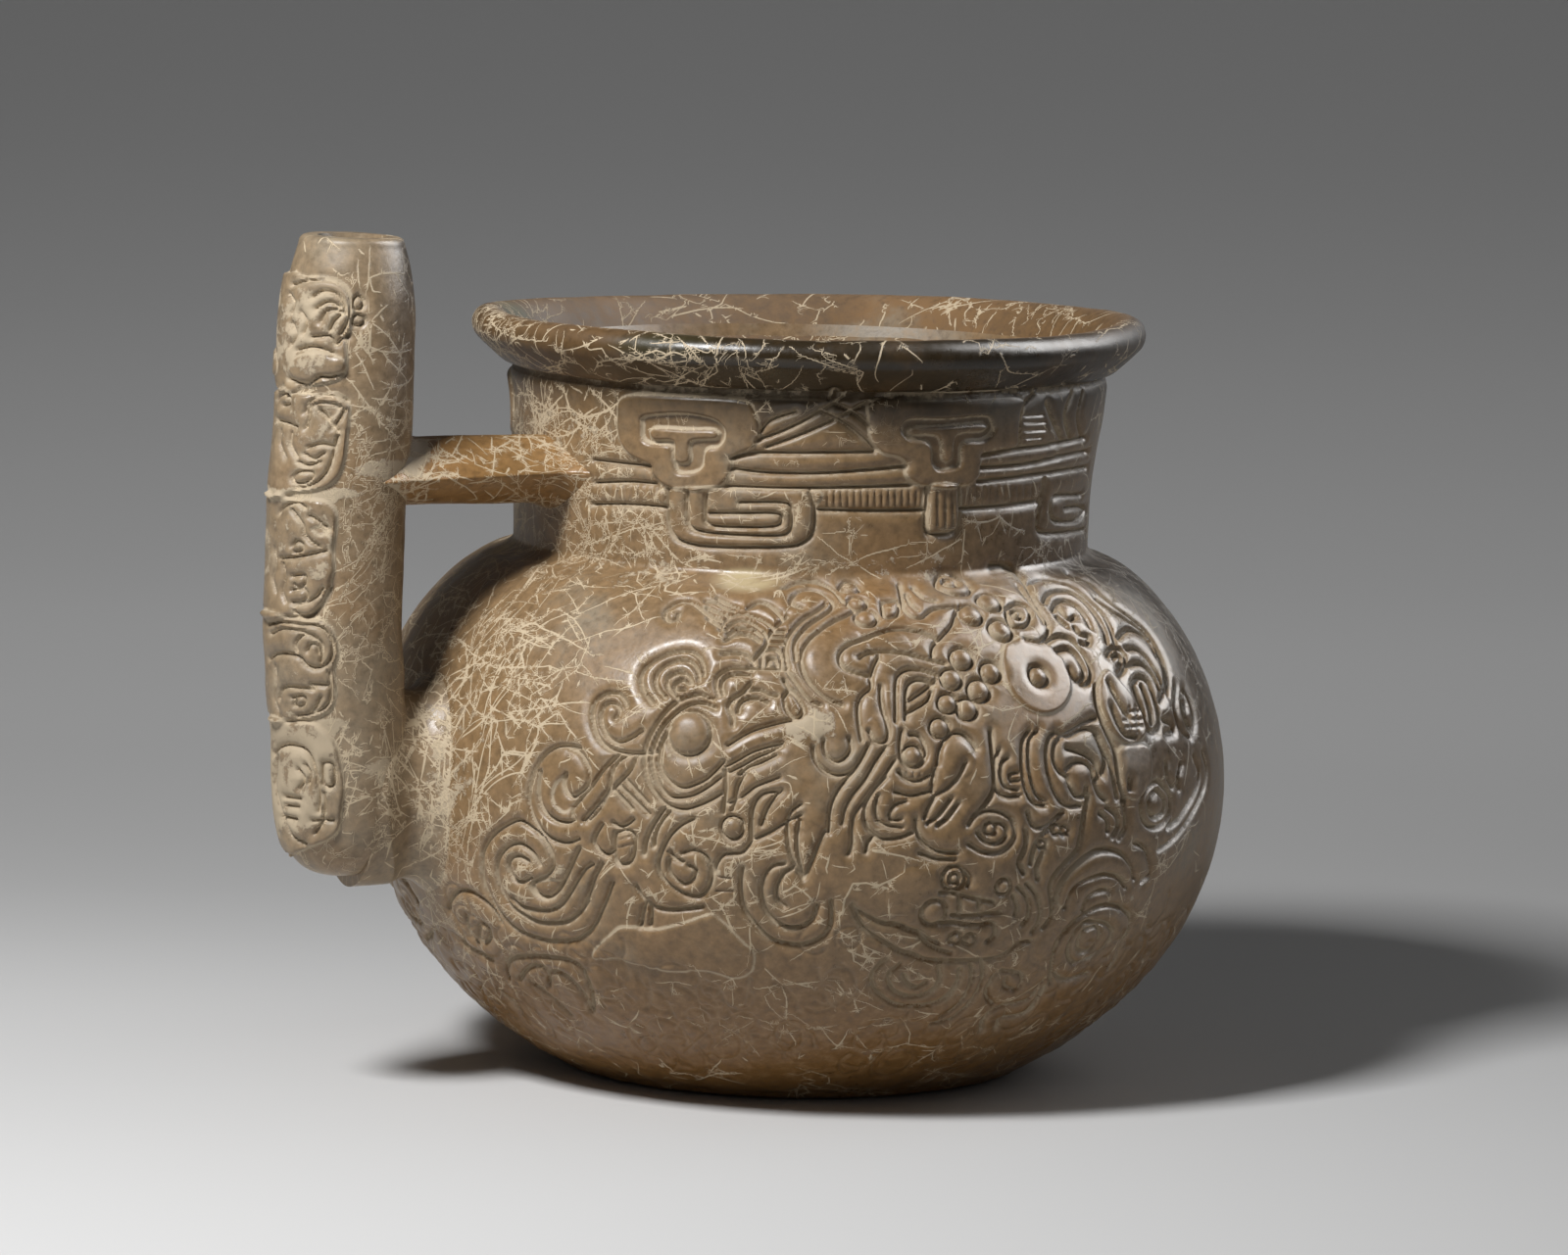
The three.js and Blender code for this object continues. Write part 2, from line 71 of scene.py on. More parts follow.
# Carving, read from the photograph. Numbers are its pixels, across and down by turns.
NECK_CUTS = {
    "band_top_left": (605, 470, 640, 474, 662, 476), "band_low_left": (606, 493, 640, 492, 668, 494),
    "cord_low_left": (604, 515, 640, 515, 682, 518), "band_top": (746, 468, 770, 463, 820, 463, 893, 462),
    "band_middle": (746, 479, 780, 483, 830, 484, 880, 481, 924, 477),
    "band_low": (740, 497, 800, 499, 870, 498, 930, 496), "cord_low": (836, 521, 890, 522, 944, 521),
    "cord_low_right": (981, 520, 1030, 516, 1062, 512),
    "band_right_top": (1003, 465, 1040, 459, 1076, 454, 1108, 447),
    "band_right_middle": (1003, 478, 1050, 474, 1086, 466, 1110, 461),
    "band_right_low": (1000, 492, 1050, 486, 1110, 477),
    "bracket_outer": (681, 500, 681, 522, 684, 542, 697, 553, 730, 558, 800, 558, 822, 552, 830, 540,
        831, 518, 826, 501),
    "bracket_inner": (701, 501, 701, 528, 707, 540, 735, 545, 790, 547, 805, 543, 808, 530, 806, 517,
        795, 513, 755, 513),
    "bracket_core": (720, 505, 719, 524, 722, 535, 745, 538, 792, 537, 794, 525, 760, 524, 724, 524),
    "far_bracket": (1067, 489, 1063, 515, 1061, 541, 1082, 544, 1108, 541),
    "far_bracket_core": (1104, 505, 1077, 508, 1076, 530, 1102, 531, 1108, 518, 1088, 519),
    "tab_edge": (947, 498, 946, 540, 958, 545, 974, 543, 979, 530, 979, 498),
    "cross_one": (772, 450, 800, 440, 830, 425, 866, 403),
    "cross_two": (782, 457, 815, 445, 850, 430, 887, 411), "cross_three": (776, 441, 786, 430, 812, 421),
    "cross_four": (836, 420, 858, 430, 880, 446, 894, 460), "cross_five": (852, 412, 874, 424, 888, 436),
    "cross_six": (846, 408, 852, 400), "slant_one": (1043, 458, 1043, 420, 1058, 402),
    "slant_two": (1070, 412, 1076, 430, 1086, 452), "slant_three": (1096, 400, 1088, 425, 1094, 450),
    "slant_four": (1106, 400, 1101, 425, 1104, 446),
}
NECK_FINE = {
    "tab_rib_one": (956, 500, 956, 536), "tab_rib_two": (964, 500, 964, 538),
    "tab_rib_three": (971, 500, 972, 537), "tick_one": (1046, 425, 1066, 424),
    "tick_two": (1047, 432, 1068, 431), "tick_three": (1047, 440, 1068, 439),
    "tick_four": (1046, 448, 1064, 447),
}
SCROLLS_LEFT = {
    "coil_a": (668, 768, 652, 769, 637, 768, 622, 764, 611, 755, 605, 742, 603, 728, 606, 715, 614, 708,
        626, 706, 634, 711, 638, 720),
    "coil_a_inner": (654, 745, 642, 753, 630, 757, 619, 751, 613, 740, 612, 728, 617, 718, 626, 717,
        631, 724, 627, 732),
    "coil_b": (665, 717, 657, 707, 653, 693, 658, 680, 672, 670, 688, 664, 703, 663, 712, 668, 717, 677,
        718, 688),
    "coil_b_middle": (678, 711, 670, 702, 668, 692, 673, 682, 683, 675, 697, 672, 707, 676, 712, 685,
        713, 694), "coil_b_inner": (690, 711, 682, 703, 680, 693, 685, 687, 695, 685, 702, 689, 705, 697),
    "coil_b_core": (702, 697, 695, 693, 688, 697, 689, 703, 698, 703),
    "round_outer": (727, 713, 712, 708, 696, 712, 680, 724, 667, 742, 659, 760, 657, 780, 662, 800,
        672, 815, 684, 823, 697, 826, 710, 823, 724, 817, 736, 810),
    "round_middle": (730, 722, 716, 717, 702, 719, 688, 728, 676, 741, 668, 757, 664, 773, 667, 790,
        674, 805, 683, 813, 695, 814, 708, 811, 722, 803, 735, 793),
    "round_inner": (684, 742, 676, 756, 672, 768, 672, 780, 677, 791, 686, 800, 697, 804, 708, 801,
        720, 795, 731, 785, 738, 777),
    "coil_c": (590, 763, 578, 761, 565, 762, 553, 771, 544, 786, 539, 803, 538, 820, 543, 837, 552, 850,
        563, 858, 577, 861, 589, 857),
    "coil_c_inner": (550, 787, 548, 803, 549, 818, 554, 829, 564, 837, 576, 840, 585, 838),
    "coil_c_hook": (580, 763, 589, 767, 596, 777, 600, 787, 599, 799, 592, 808, 583, 813, 577, 809,
        574, 800, 576, 790),
    "leaf_one": (630, 770, 618, 782, 608, 795, 598, 808, 588, 819, 582, 828, 584, 838),
    "leaf_two": (645, 769, 633, 774, 626, 783, 623, 795, 621, 805, 612, 817, 603, 828, 594, 838),
    "leaf_three": (649, 771, 643, 785, 632, 798, 619, 812, 608, 829, 599, 838),
    "hatch_one": (632, 802, 641, 811, 653, 823, 661, 831), "hatch_two": (638, 796, 648, 807, 660, 820),
    "hatch_three": (626, 806, 634, 815, 644, 826), "knot": (625, 840, 631, 844, 639, 842, 645, 837),
    "post_one": (613, 842, 607, 852, 605, 861, 610, 868, 618, 873, 624, 870),
    "post_two": (627, 850, 640, 848, 647, 856, 646, 872, 640, 882, 628, 880, 626, 864, 627, 850),
    "coil_e": (563, 886, 562, 876, 557, 863, 547, 851, 537, 843, 527, 838, 516, 842, 505, 849, 497, 857,
        491, 869, 490, 883, 491, 897, 495, 911, 503, 926, 514, 940, 528, 951, 545, 958, 562, 962,
        580, 962, 595, 957, 606, 945, 613, 930, 619, 916, 624, 902),
    "coil_e_inner": (549, 884, 543, 873, 537, 867, 528, 862, 518, 864, 509, 872, 505, 884, 506, 898,
        511, 913, 519, 925, 531, 934, 546, 942, 562, 944, 578, 942, 590, 933, 599, 921),
    "coil_e_core": (540, 897, 530, 902, 521, 897, 517, 887, 519, 877, 528, 875, 537, 880),
    "coil_e_lip": (563, 886, 556, 895, 546, 899, 540, 904, 545, 914, 556, 919, 566, 913, 574, 900,
        582, 883, 590, 866),
    "tail_one": (603, 883, 595, 889, 587, 901, 579, 915, 570, 926, 558, 931, 543, 930, 530, 926,
        521, 918), "tail_two": (613, 882, 605, 898, 600, 913, 594, 926),
    "loop": (455, 930, 458, 918, 467, 911, 478, 912, 488, 918, 497, 925, 504, 934, 510, 944),
    "loop_inner": (473, 935, 475, 947, 479, 957, 486, 963),
    "loop_oval": (487, 947, 487, 958, 493, 964, 498, 958, 496, 948, 490, 944),
    "loop_low": (470, 962, 480, 970, 490, 975, 500, 981),
}
SCROLLS_LOW = {
    "stone": (517, 1000, 515, 988, 521, 980, 537, 978, 560, 978, 578, 981, 591, 988, 598, 1000, 603, 1015,
        604, 1032), "stone_inner": (529, 1001, 533, 994, 541, 988, 551, 988, 558, 995, 558, 1007),
    "stone_arc": (560, 993, 571, 993, 582, 1001, 592, 1012, 599, 1024, 602, 1034),
    "stone_low": (540, 1003, 553, 1013, 565, 1023, 580, 1037),
    "stone_side": (512, 1015, 522, 1023, 529, 1033),
    "stub": (653, 946, 656, 930, 660, 921, 664, 930, 663, 945),
    "coil_f": (707, 836, 694, 843, 683, 854, 675, 869, 671, 884, 675, 897, 686, 907, 699, 914, 713, 916,
        722, 908, 726, 895, 724, 882, 718, 873, 707, 868, 696, 871),
    "coil_f_inner": (682, 878, 682, 889, 688, 898, 698, 903, 707, 898, 709, 889, 702, 884),
    "coil_f_hook": (683, 870, 688, 877, 696, 880),
    "coil_f_side": (667, 864, 668, 853, 673, 841, 682, 829),
    "coil_f_edge": (657, 872, 659, 858, 667, 841, 677, 826),
    "coil_f_base": (648, 905, 655, 918, 668, 927, 683, 930, 700, 929, 716, 927),
    "petal_one": (767, 857, 767, 840, 768, 827, 773, 815, 782, 809, 794, 808),
    "petal_two": (777, 842, 782, 828, 789, 816, 797, 807),
    "petal_three": (770, 857, 785, 850, 800, 841, 817, 832),
    "petal_four": (803, 838, 804, 852, 806, 868, 811, 882, 820, 898),
    "petal_five": (816, 838, 814, 852, 814, 868, 817, 884, 820, 896),
    "petal_six": (842, 848, 835, 864, 828, 880, 821, 897), "petal_seven": (803, 838, 808, 828, 817, 821),
    "ridge_left": (728, 893, 731, 882, 738, 873, 748, 872, 758, 870, 767, 859),
    "coil_g": (757, 887, 756, 903, 757, 918, 761, 932, 770, 944, 780, 955, 791, 962, 804, 965, 818, 966,
        830, 962, 840, 957, 847, 947, 849, 935, 848, 920),
    "coil_g_inner": (800, 882, 788, 885, 780, 895, 777, 908, 779, 922, 784, 934, 792, 942, 803, 948,
        814, 948, 824, 944, 831, 936, 834, 925),
    "coil_g_core": (812, 884, 800, 892, 793, 905, 793, 918, 800, 926),
    "rib_one": (740, 785, 741, 799, 740, 813, 738, 830),
    "rib_two": (760, 790, 753, 802, 751, 813, 747, 827),
    "branch_one": (740, 782, 753, 775, 767, 767, 782, 762, 798, 758),
    "branch_two": (743, 788, 757, 781, 771, 773, 785, 767, 797, 761),
    "branch_three": (755, 790, 763, 783, 776, 778, 792, 770),
    "branch_under": (743, 820, 757, 813, 770, 803, 782, 798, 795, 793),
    "branch_high": (742, 760, 765, 746, 790, 738, 812, 733),
}
PLUMES = {
    "curl": (692, 624, 690, 629, 684, 632, 678, 628, 679, 621, 688, 614, 698, 612, 708, 614, 717, 621,
        726, 628), "fan_one": (720, 612, 731, 613, 741, 619, 749, 621),
    "fan_two": (721, 618, 733, 623, 744, 626), "fan_three": (720, 624, 735, 631),
    "fan_four": (722, 629, 734, 637), "fan_five": (732, 608, 742, 614, 754, 618),
    "arch": (735, 641, 738, 633, 745, 627, 756, 624, 769, 627, 781, 632, 789, 638),
    "arch_two": (741, 640, 747, 634, 757, 631, 768, 634, 778, 641, 783, 650),
    "arch_three": (742, 646, 753, 639, 767, 640, 777, 647),
    "arch_four": (740, 652, 752, 645, 766, 647, 775, 653),
    "arch_base": (737, 666, 750, 665, 762, 668, 770, 676),
    "arch_over": (763, 619, 773, 613, 784, 615, 794, 623, 799, 630),
    "ladder": (803, 627, 792, 637, 785, 646, 781, 657, 774, 666, 768, 673),
    "rung_one": (790, 643, 800, 643), "rung_two": (787, 648, 800, 649),
    "rung_three": (785, 654, 799, 655),
    "box": (777, 678, 778, 666, 784, 661, 793, 662, 797, 671, 796, 682),
    "box_core": (783, 677, 784, 671, 790, 671, 793, 678), "box_line": (763, 680, 787, 681, 803, 682),
    "cee": (733, 709, 730, 700, 731, 691, 736, 685, 745, 681, 757, 681, 768, 683),
    "cee_inner": (738, 708, 736, 699, 738, 692, 744, 688, 755, 687, 765, 688),
    "step": (766, 696, 757, 706, 747, 712, 743, 721, 747, 730, 748, 740),
    "step_arch": (748, 716, 754, 708, 763, 704, 774, 703, 785, 708, 793, 709),
    "step_core": (753, 726, 755, 717, 763, 712, 773, 712, 783, 717),
    "pill": (800, 710, 802, 721, 808, 730, 815, 732, 820, 724, 815, 713, 807, 703, 800, 710),
    "shine": (803, 683, 810, 693, 819, 706, 828, 715, 838, 719),
    "shine_low": (800, 693, 807, 704, 815, 712),
    "band_outer": (800, 598, 812, 593, 828, 591, 843, 595, 854, 602, 861, 612),
    "band_inner": (818, 618, 808, 614, 808, 607, 815, 601, 829, 600, 842, 604, 850, 612, 848, 619,
        838, 627, 826, 635, 817, 644, 811, 655, 812, 672),
    "band_left": (843, 613, 833, 621, 820, 629, 810, 639, 803, 651, 801, 664, 804, 680),
    "boss_edge": (872, 621, 862, 627, 849, 633, 837, 642, 826, 652, 819, 664, 818, 678, 823, 691,
        832, 702, 845, 712, 860, 719),
}
HEAD = {
    "snout_top": (958, 651, 944, 645, 928, 641, 911, 641, 894, 646, 877, 653, 864, 659, 857, 667,
        857, 676, 862, 682, 873, 686, 887, 688),
    "snout_low": (877, 671, 886, 666, 901, 664, 916, 665, 931, 667, 947, 671, 966, 676),
    "bar_left": (897, 669, 892, 680, 889, 692, 889, 701, 880, 709, 876, 720, 877, 736, 880, 755),
    "bar_right": (915, 735, 915, 718, 915, 700, 917, 688, 926, 682, 940, 682, 958, 688),
    "bar_inner": (925, 733, 925, 718, 925, 705, 928, 696, 936, 692, 946, 693, 955, 697),
    "bar_tip": (899, 700, 900, 718, 905, 735, 907, 748, 903, 757, 893, 756, 887, 745),
    "slash": (930, 713, 943, 704, 955, 694), "tear": (925, 727, 935, 722, 948, 714, 952, 705),
    "bead_edge": (952, 668, 953, 658, 962, 648, 972, 636, 976, 624, 981, 617),
    "hook": (918, 595, 920, 606, 923, 618, 931, 627, 941, 628, 949, 621, 961, 618, 976, 618),
    "down_one": (925, 604, 930, 614, 937, 620), "down_two": (932, 598, 943, 608, 955, 612),
    "block": (900, 612, 917, 612, 916, 625, 903, 627, 900, 612),
    "brow": (830, 762, 833, 776, 843, 787, 857, 791, 871, 786, 879, 776),
    "brow_inner": (841, 755, 843, 769, 853, 777, 863, 773, 869, 763, 867, 753),
    "cheek_one": (887, 760, 880, 774, 870, 789, 858, 803, 850, 818, 847, 832, 846, 850),
    "cheek_two": (904, 762, 894, 777, 883, 796, 871, 811, 863, 826, 860, 841),
    "cheek_three": (914, 775, 904, 790, 892, 805, 882, 819, 873, 831, 870, 846, 870, 862, 866, 872),
    "cheek_four": (905, 793, 893, 806, 885, 820, 883, 835, 888, 848, 897, 855),
    "eye": (921, 745, 919, 760, 921, 775, 930, 783, 940, 780, 946, 770, 944, 758, 938, 750, 930, 749),
    "lid": (918, 787, 926, 795, 938, 797, 951, 790), "lid_low": (915, 808, 930, 812, 948, 808),
    "whorl": (897, 812, 894, 825, 897, 838, 908, 843, 921, 845),
    "whorl_inner": (925, 818, 914, 822, 908, 832, 912, 838, 920, 836),
    "whorl_base": (893, 855, 905, 857, 920, 855, 932, 850),
    "dome": (884, 870, 886, 860, 894, 854, 903, 858),
    "nose": (958, 780, 960, 765, 965, 755, 973, 748, 983, 748, 992, 755, 998, 764),
    "nose_fold": (986, 778, 979, 792, 969, 804, 956, 812, 948, 826, 945, 835),
    "nose_left": (955, 784, 953, 798, 952, 808), "tooth_one": (948, 841, 960, 831, 972, 815),
    "tooth_two": (958, 843, 968, 835, 979, 820),
    "mouth": (935, 836, 937, 850, 945, 862, 960, 870, 977, 871),
    "mouth_low": (940, 871, 956, 877, 975, 878),
    "chin": (990, 842, 996, 833, 1008, 828, 1022, 829, 1033, 836, 1038, 849, 1033, 862, 1020, 871,
        1004, 870, 990, 862),
    "chin_inner": (999, 850, 1005, 858, 1016, 862, 1026, 857, 1029, 847, 1024, 841, 1016, 840),
}
SIDE = {
    "slot_one": (1021, 765, 1017, 778, 1016, 795, 1020, 808, 1030, 813, 1042, 812),
    "slot_two": (1030, 773, 1024, 778, 1023, 792, 1028, 803, 1040, 806),
    "slot_core": (1040, 788, 1032, 790, 1034, 797, 1041, 796),
    "nest_one": (1052, 745, 1045, 756, 1044, 775, 1046, 795, 1051, 811, 1059, 821, 1069, 822),
    "nest_two": (1060, 745, 1052, 756, 1051, 775, 1054, 795, 1060, 811, 1068, 818),
    "nest_three": (1080, 746, 1072, 753, 1069, 768, 1071, 787, 1076, 803, 1083, 816, 1092, 823,
        1104, 822),
    "nest_four": (1086, 750, 1078, 759, 1077, 775, 1083, 787, 1091, 793, 1094, 803, 1101, 813, 1109, 812,
        1110, 803),
    "face_one": (1090, 785, 1098, 778, 1109, 778, 1116, 786, 1118, 797, 1123, 810, 1130, 817),
    "face_two": (1082, 747, 1091, 751, 1101, 746, 1112, 743, 1121, 748, 1127, 760, 1133, 775, 1138, 795,
        1141, 814), "face_three": (1090, 763, 1099, 766, 1109, 770, 1117, 776, 1122, 787, 1121, 797),
    "face_four": (1118, 747, 1124, 760, 1129, 775, 1126, 790),
    "tip": (1079, 746, 1086, 749, 1096, 744, 1108, 737, 1120, 732),
    "fin_one": (1130, 697, 1136, 710, 1143, 722, 1149, 731),
    "fin_two": (1133, 722, 1139, 738, 1147, 750, 1158, 753),
    "lash_one": (1068, 655, 1079, 648, 1092, 650, 1102, 660, 1110, 672, 1115, 686, 1112, 697, 1104, 697),
    "lash_two": (1078, 664, 1088, 661, 1097, 665, 1104, 676, 1108, 688, 1103, 695, 1096, 690, 1092, 682),
    "dress_one": (1012, 578, 1024, 577, 1036, 582, 1046, 593, 1053, 606, 1062, 620, 1070, 633, 1071, 645,
        1062, 654, 1047, 652), "dress_two": (1040, 597, 1048, 607, 1058, 621, 1067, 634),
    "dress_ring": (1028, 619, 1038, 614, 1050, 619, 1053, 628, 1048, 637, 1036, 638, 1029, 630,
        1028, 619),
    "wave_one": (1050, 594, 1062, 590, 1078, 592, 1092, 596, 1105, 605, 1116, 615, 1126, 625, 1134, 639,
        1139, 655),
    "wave_two": (1066, 613, 1070, 604, 1080, 601, 1091, 602, 1103, 609, 1113, 619, 1121, 629, 1128, 642,
        1131, 655), "wave_three": (1075, 622, 1079, 613, 1087, 611, 1098, 616, 1108, 627, 1114, 639),
    "claw_one": (1081, 617, 1086, 626, 1093, 631, 1098, 628), "claw_two": (1080, 629, 1089, 637),
    "claw_three": (1098, 640, 1104, 646, 1113, 648, 1112, 656, 1104, 655),
    "sweep_one": (1092, 585, 1110, 593, 1125, 606, 1141, 619, 1156, 630, 1170, 642, 1180, 657, 1188, 674,
        1192, 692, 1192, 708),
    "sweep_two": (1120, 611, 1136, 622, 1151, 631, 1165, 641, 1176, 653, 1184, 669, 1189, 686, 1189, 702,
        1184, 715), "sweep_three": (1142, 650, 1152, 641, 1164, 645, 1174, 655, 1181, 668),
    "sweep_four": (1150, 661, 1160, 661, 1170, 669, 1178, 681, 1184, 692, 1188, 703),
    "sweep_five": (1152, 678, 1164, 676, 1173, 683, 1180, 693, 1184, 703),
    "nut": (1131, 668, 1136, 660, 1145, 662, 1150, 671, 1149, 682, 1143, 688),
    "nut_inner": (1137, 670, 1142, 667, 1146, 674, 1143, 680),
    "link": (1157, 697, 1164, 690, 1172, 695, 1177, 706, 1181, 719, 1184, 733, 1182, 744, 1175, 746,
        1169, 738, 1167, 725, 1162, 712, 1157, 697),
    "link_core": (1166, 700, 1171, 712, 1175, 727, 1176, 738),
    "link_hook": (1188, 734, 1196, 738, 1198, 746, 1190, 748),
    "slit": (1208, 706, 1207, 722, 1211, 737, 1217, 747, 1219, 735, 1215, 718, 1209, 704),
    "slit_edge": (1200, 700, 1199, 722, 1205, 742, 1215, 752),
    "hem_one": (1219, 772, 1224, 787, 1222, 805, 1213, 823, 1203, 838, 1193, 845),
    "hem_two": (1228, 768, 1232, 785, 1230, 805, 1221, 826, 1209, 846, 1196, 860, 1184, 868),
    "hem_left": (1191, 778, 1192, 792, 1197, 803),
    "shell": (1183, 797, 1172, 805, 1166, 820, 1168, 837, 1178, 845, 1189, 841, 1195, 827, 1194, 810,
        1183, 797),
    "shell_inner": (1182, 806, 1175, 815, 1174, 828, 1180, 835, 1188, 829, 1189, 816, 1182, 806),
    "flap_one": (1050, 829, 1055, 842, 1065, 846, 1076, 839, 1086, 829),
    "flap_two": (1076, 845, 1063, 855, 1056, 868, 1053, 882),
    "flap_three": (1066, 870, 1059, 885, 1060, 898),
    "hood_one": (1078, 921, 1082, 905, 1091, 891, 1105, 878, 1120, 869, 1134, 868, 1147, 873, 1156, 886,
        1159, 897),
    "hood_two": (1088, 927, 1092, 913, 1101, 903, 1114, 897, 1129, 893, 1143, 896, 1150, 906),
    "hood_three": (1106, 930, 1110, 919, 1119, 912, 1131, 909),
    "hood_side": (1160, 861, 1170, 866, 1175, 880, 1175, 893, 1167, 901),
    "coin_right": (1147, 928, 1155, 937, 1154, 948, 1147, 961, 1140, 976, 1133, 989),
    "coin_one": (1120, 942, 1108, 943, 1098, 953, 1092, 968, 1092, 979, 1098, 985, 1109, 981, 1120, 975,
        1130, 966, 1137, 953, 1132, 945, 1120, 942),
    "coin_two": (1113, 949, 1107, 951, 1102, 961, 1102, 971, 1109, 973, 1118, 966, 1124, 955, 1121, 947,
        1113, 949), "coin_base": (1077, 995, 1086, 1002, 1098, 1000, 1111, 995),
}
JAW = {
    "jaw": (870, 925, 880, 946, 893, 957, 907, 965, 919, 972, 931, 975, 944, 980, 961, 981, 978, 982,
        1002, 981, 1018, 979, 1029, 973, 1041, 964, 1053, 962),
    "jaw_inner": (871, 928, 887, 937, 901, 943, 916, 945, 928, 950, 939, 953, 948, 959, 957, 963),
    "jaw_low": (938, 952, 947, 964, 960, 970, 970, 973), "gum": (960, 912, 977, 913, 995, 918, 1014, 922),
    "gum_low": (972, 935, 990, 936, 1008, 934, 1022, 932), "gum_tick": (980, 914, 980, 935),
    "gum_tick_two": (1000, 918, 1001, 936),
    "palate": (960, 943, 978, 943, 997, 946, 1011, 943, 1017, 948, 1015, 957, 1008, 962),
    "gill_one": (1040, 906, 1048, 915, 1052, 926, 1050, 937, 1044, 945),
    "gill_two": (1049, 903, 1058, 913, 1062, 926, 1061, 940, 1054, 952),
    "gill_three": (1035, 915, 1039, 925, 1037, 935), "nostril": (985, 890, 991, 897, 989, 905),
    "wheel": (905, 981, 893, 992, 890, 1003, 895, 1014, 909, 1025, 925, 1029, 943, 1028, 958, 1024,
        970, 1015, 978, 1003, 980, 990),
    "wheel_inner": (919, 986, 908, 996, 910, 1010, 923, 1018, 940, 1018, 953, 1011, 960, 1000, 958, 987),
    "wheel_core": (923, 997, 926, 1005, 936, 1009, 946, 1004),
    "ripple_one": (991, 986, 993, 998, 988, 1013, 978, 1029, 962, 1040),
    "ripple_two": (1003, 984, 1004, 998, 998, 1014, 986, 1031, 970, 1043, 952, 1047),
    "button": (1017, 996, 1010, 1007, 1008, 1019, 1014, 1027),
    "button_inner": (1023, 992, 1035, 994, 1044, 997, 1043, 1007, 1035, 1012, 1026, 1008, 1028, 1000),
    "fold_one": (1003, 1055, 1003, 1045, 1012, 1034, 1026, 1028, 1043, 1025, 1056, 1016, 1066, 1003),
    "fold_two": (1018, 1052, 1022, 1042, 1036, 1039, 1048, 1035, 1059, 1022, 1067, 1009),
}
WORN = {
    "worn_one": (765, 998, 763, 1012, 760, 1028), "worn_two": (835, 990, 838, 1003, 842, 1018, 850, 1030),
    "worn_three": (800, 1043, 815, 1052, 828, 1058, 832, 1070),
    "worn_four": (660, 1000, 664, 1015, 660, 1030),
    "worn_five": (728, 1042, 722, 1055, 710, 1066, 700, 1075),
    "worn_six": (690, 1006, 702, 1012, 709, 1018), "worn_seven": (680, 1024, 684, 1032, 688, 1040),
    "worn_eight": (735, 1042, 745, 1048, 752, 1053),
    "worn_nine": (790, 1003, 802, 1010, 812, 1022, 815, 1035),
    "worn_ten": (860, 985, 872, 997, 874, 1012, 866, 1026),
}
DEEP = {
    "column": (1012, 745, 1014, 768, 1016, 790, 1015, 807, 1007, 821, 996, 833),
    "crease": (1119, 700, 1120, 716, 1125, 733, 1132, 749, 1139, 765, 1142, 785, 1145, 803, 1150, 817),
    "crease_low": (1147, 817, 1150, 831, 1149, 846, 1143, 856),
    "fang_one": (1131, 824, 1140, 831, 1143, 842, 1137, 854),
    "fang_two": (1124, 830, 1131, 836, 1132, 848), "plate_hole": (1152, 796, 1152, 805),
    "hole": (1185, 705, 1187, 709), "slit_pit": (1209, 715, 1210, 729, 1215, 741),
    "slit_two": (1206, 780, 1203, 793, 1204, 805),
    "hollow": (1112, 814, 1108, 832, 1105, 850, 1101, 867, 1089, 881, 1078, 893, 1073, 906, 1075, 922,
        1074, 936, 1065, 948), "hollow_two": (1048, 848, 1049, 860, 1045, 872, 1041, 881, 1046, 892),
    "coin": (1147, 928, 1133, 925, 1119, 928, 1104, 937, 1092, 948, 1082, 961, 1077, 974, 1074, 990,
        1073, 1005),
}
FINE = {
    "fin_tick_one": (1144, 728, 1160, 727), "fin_tick_two": (1144, 736, 1162, 735),
    "fin_tick_three": (1147, 743, 1163, 742), "fin_tick_four": (1150, 723, 1152, 748),
    "fin_tick_five": (1157, 722, 1159, 748), "lid_tick_one": (926, 788, 926, 794),
    "lid_tick_two": (933, 789, 933, 796), "lid_tick_three": (940, 788, 940, 796),
    "post_tick_one": (630, 858, 642, 854), "post_tick_two": (630, 866, 643, 862),
    "ridge_tick_one": (732, 896, 745, 897), "ridge_tick_two": (731, 910, 748, 910),
}
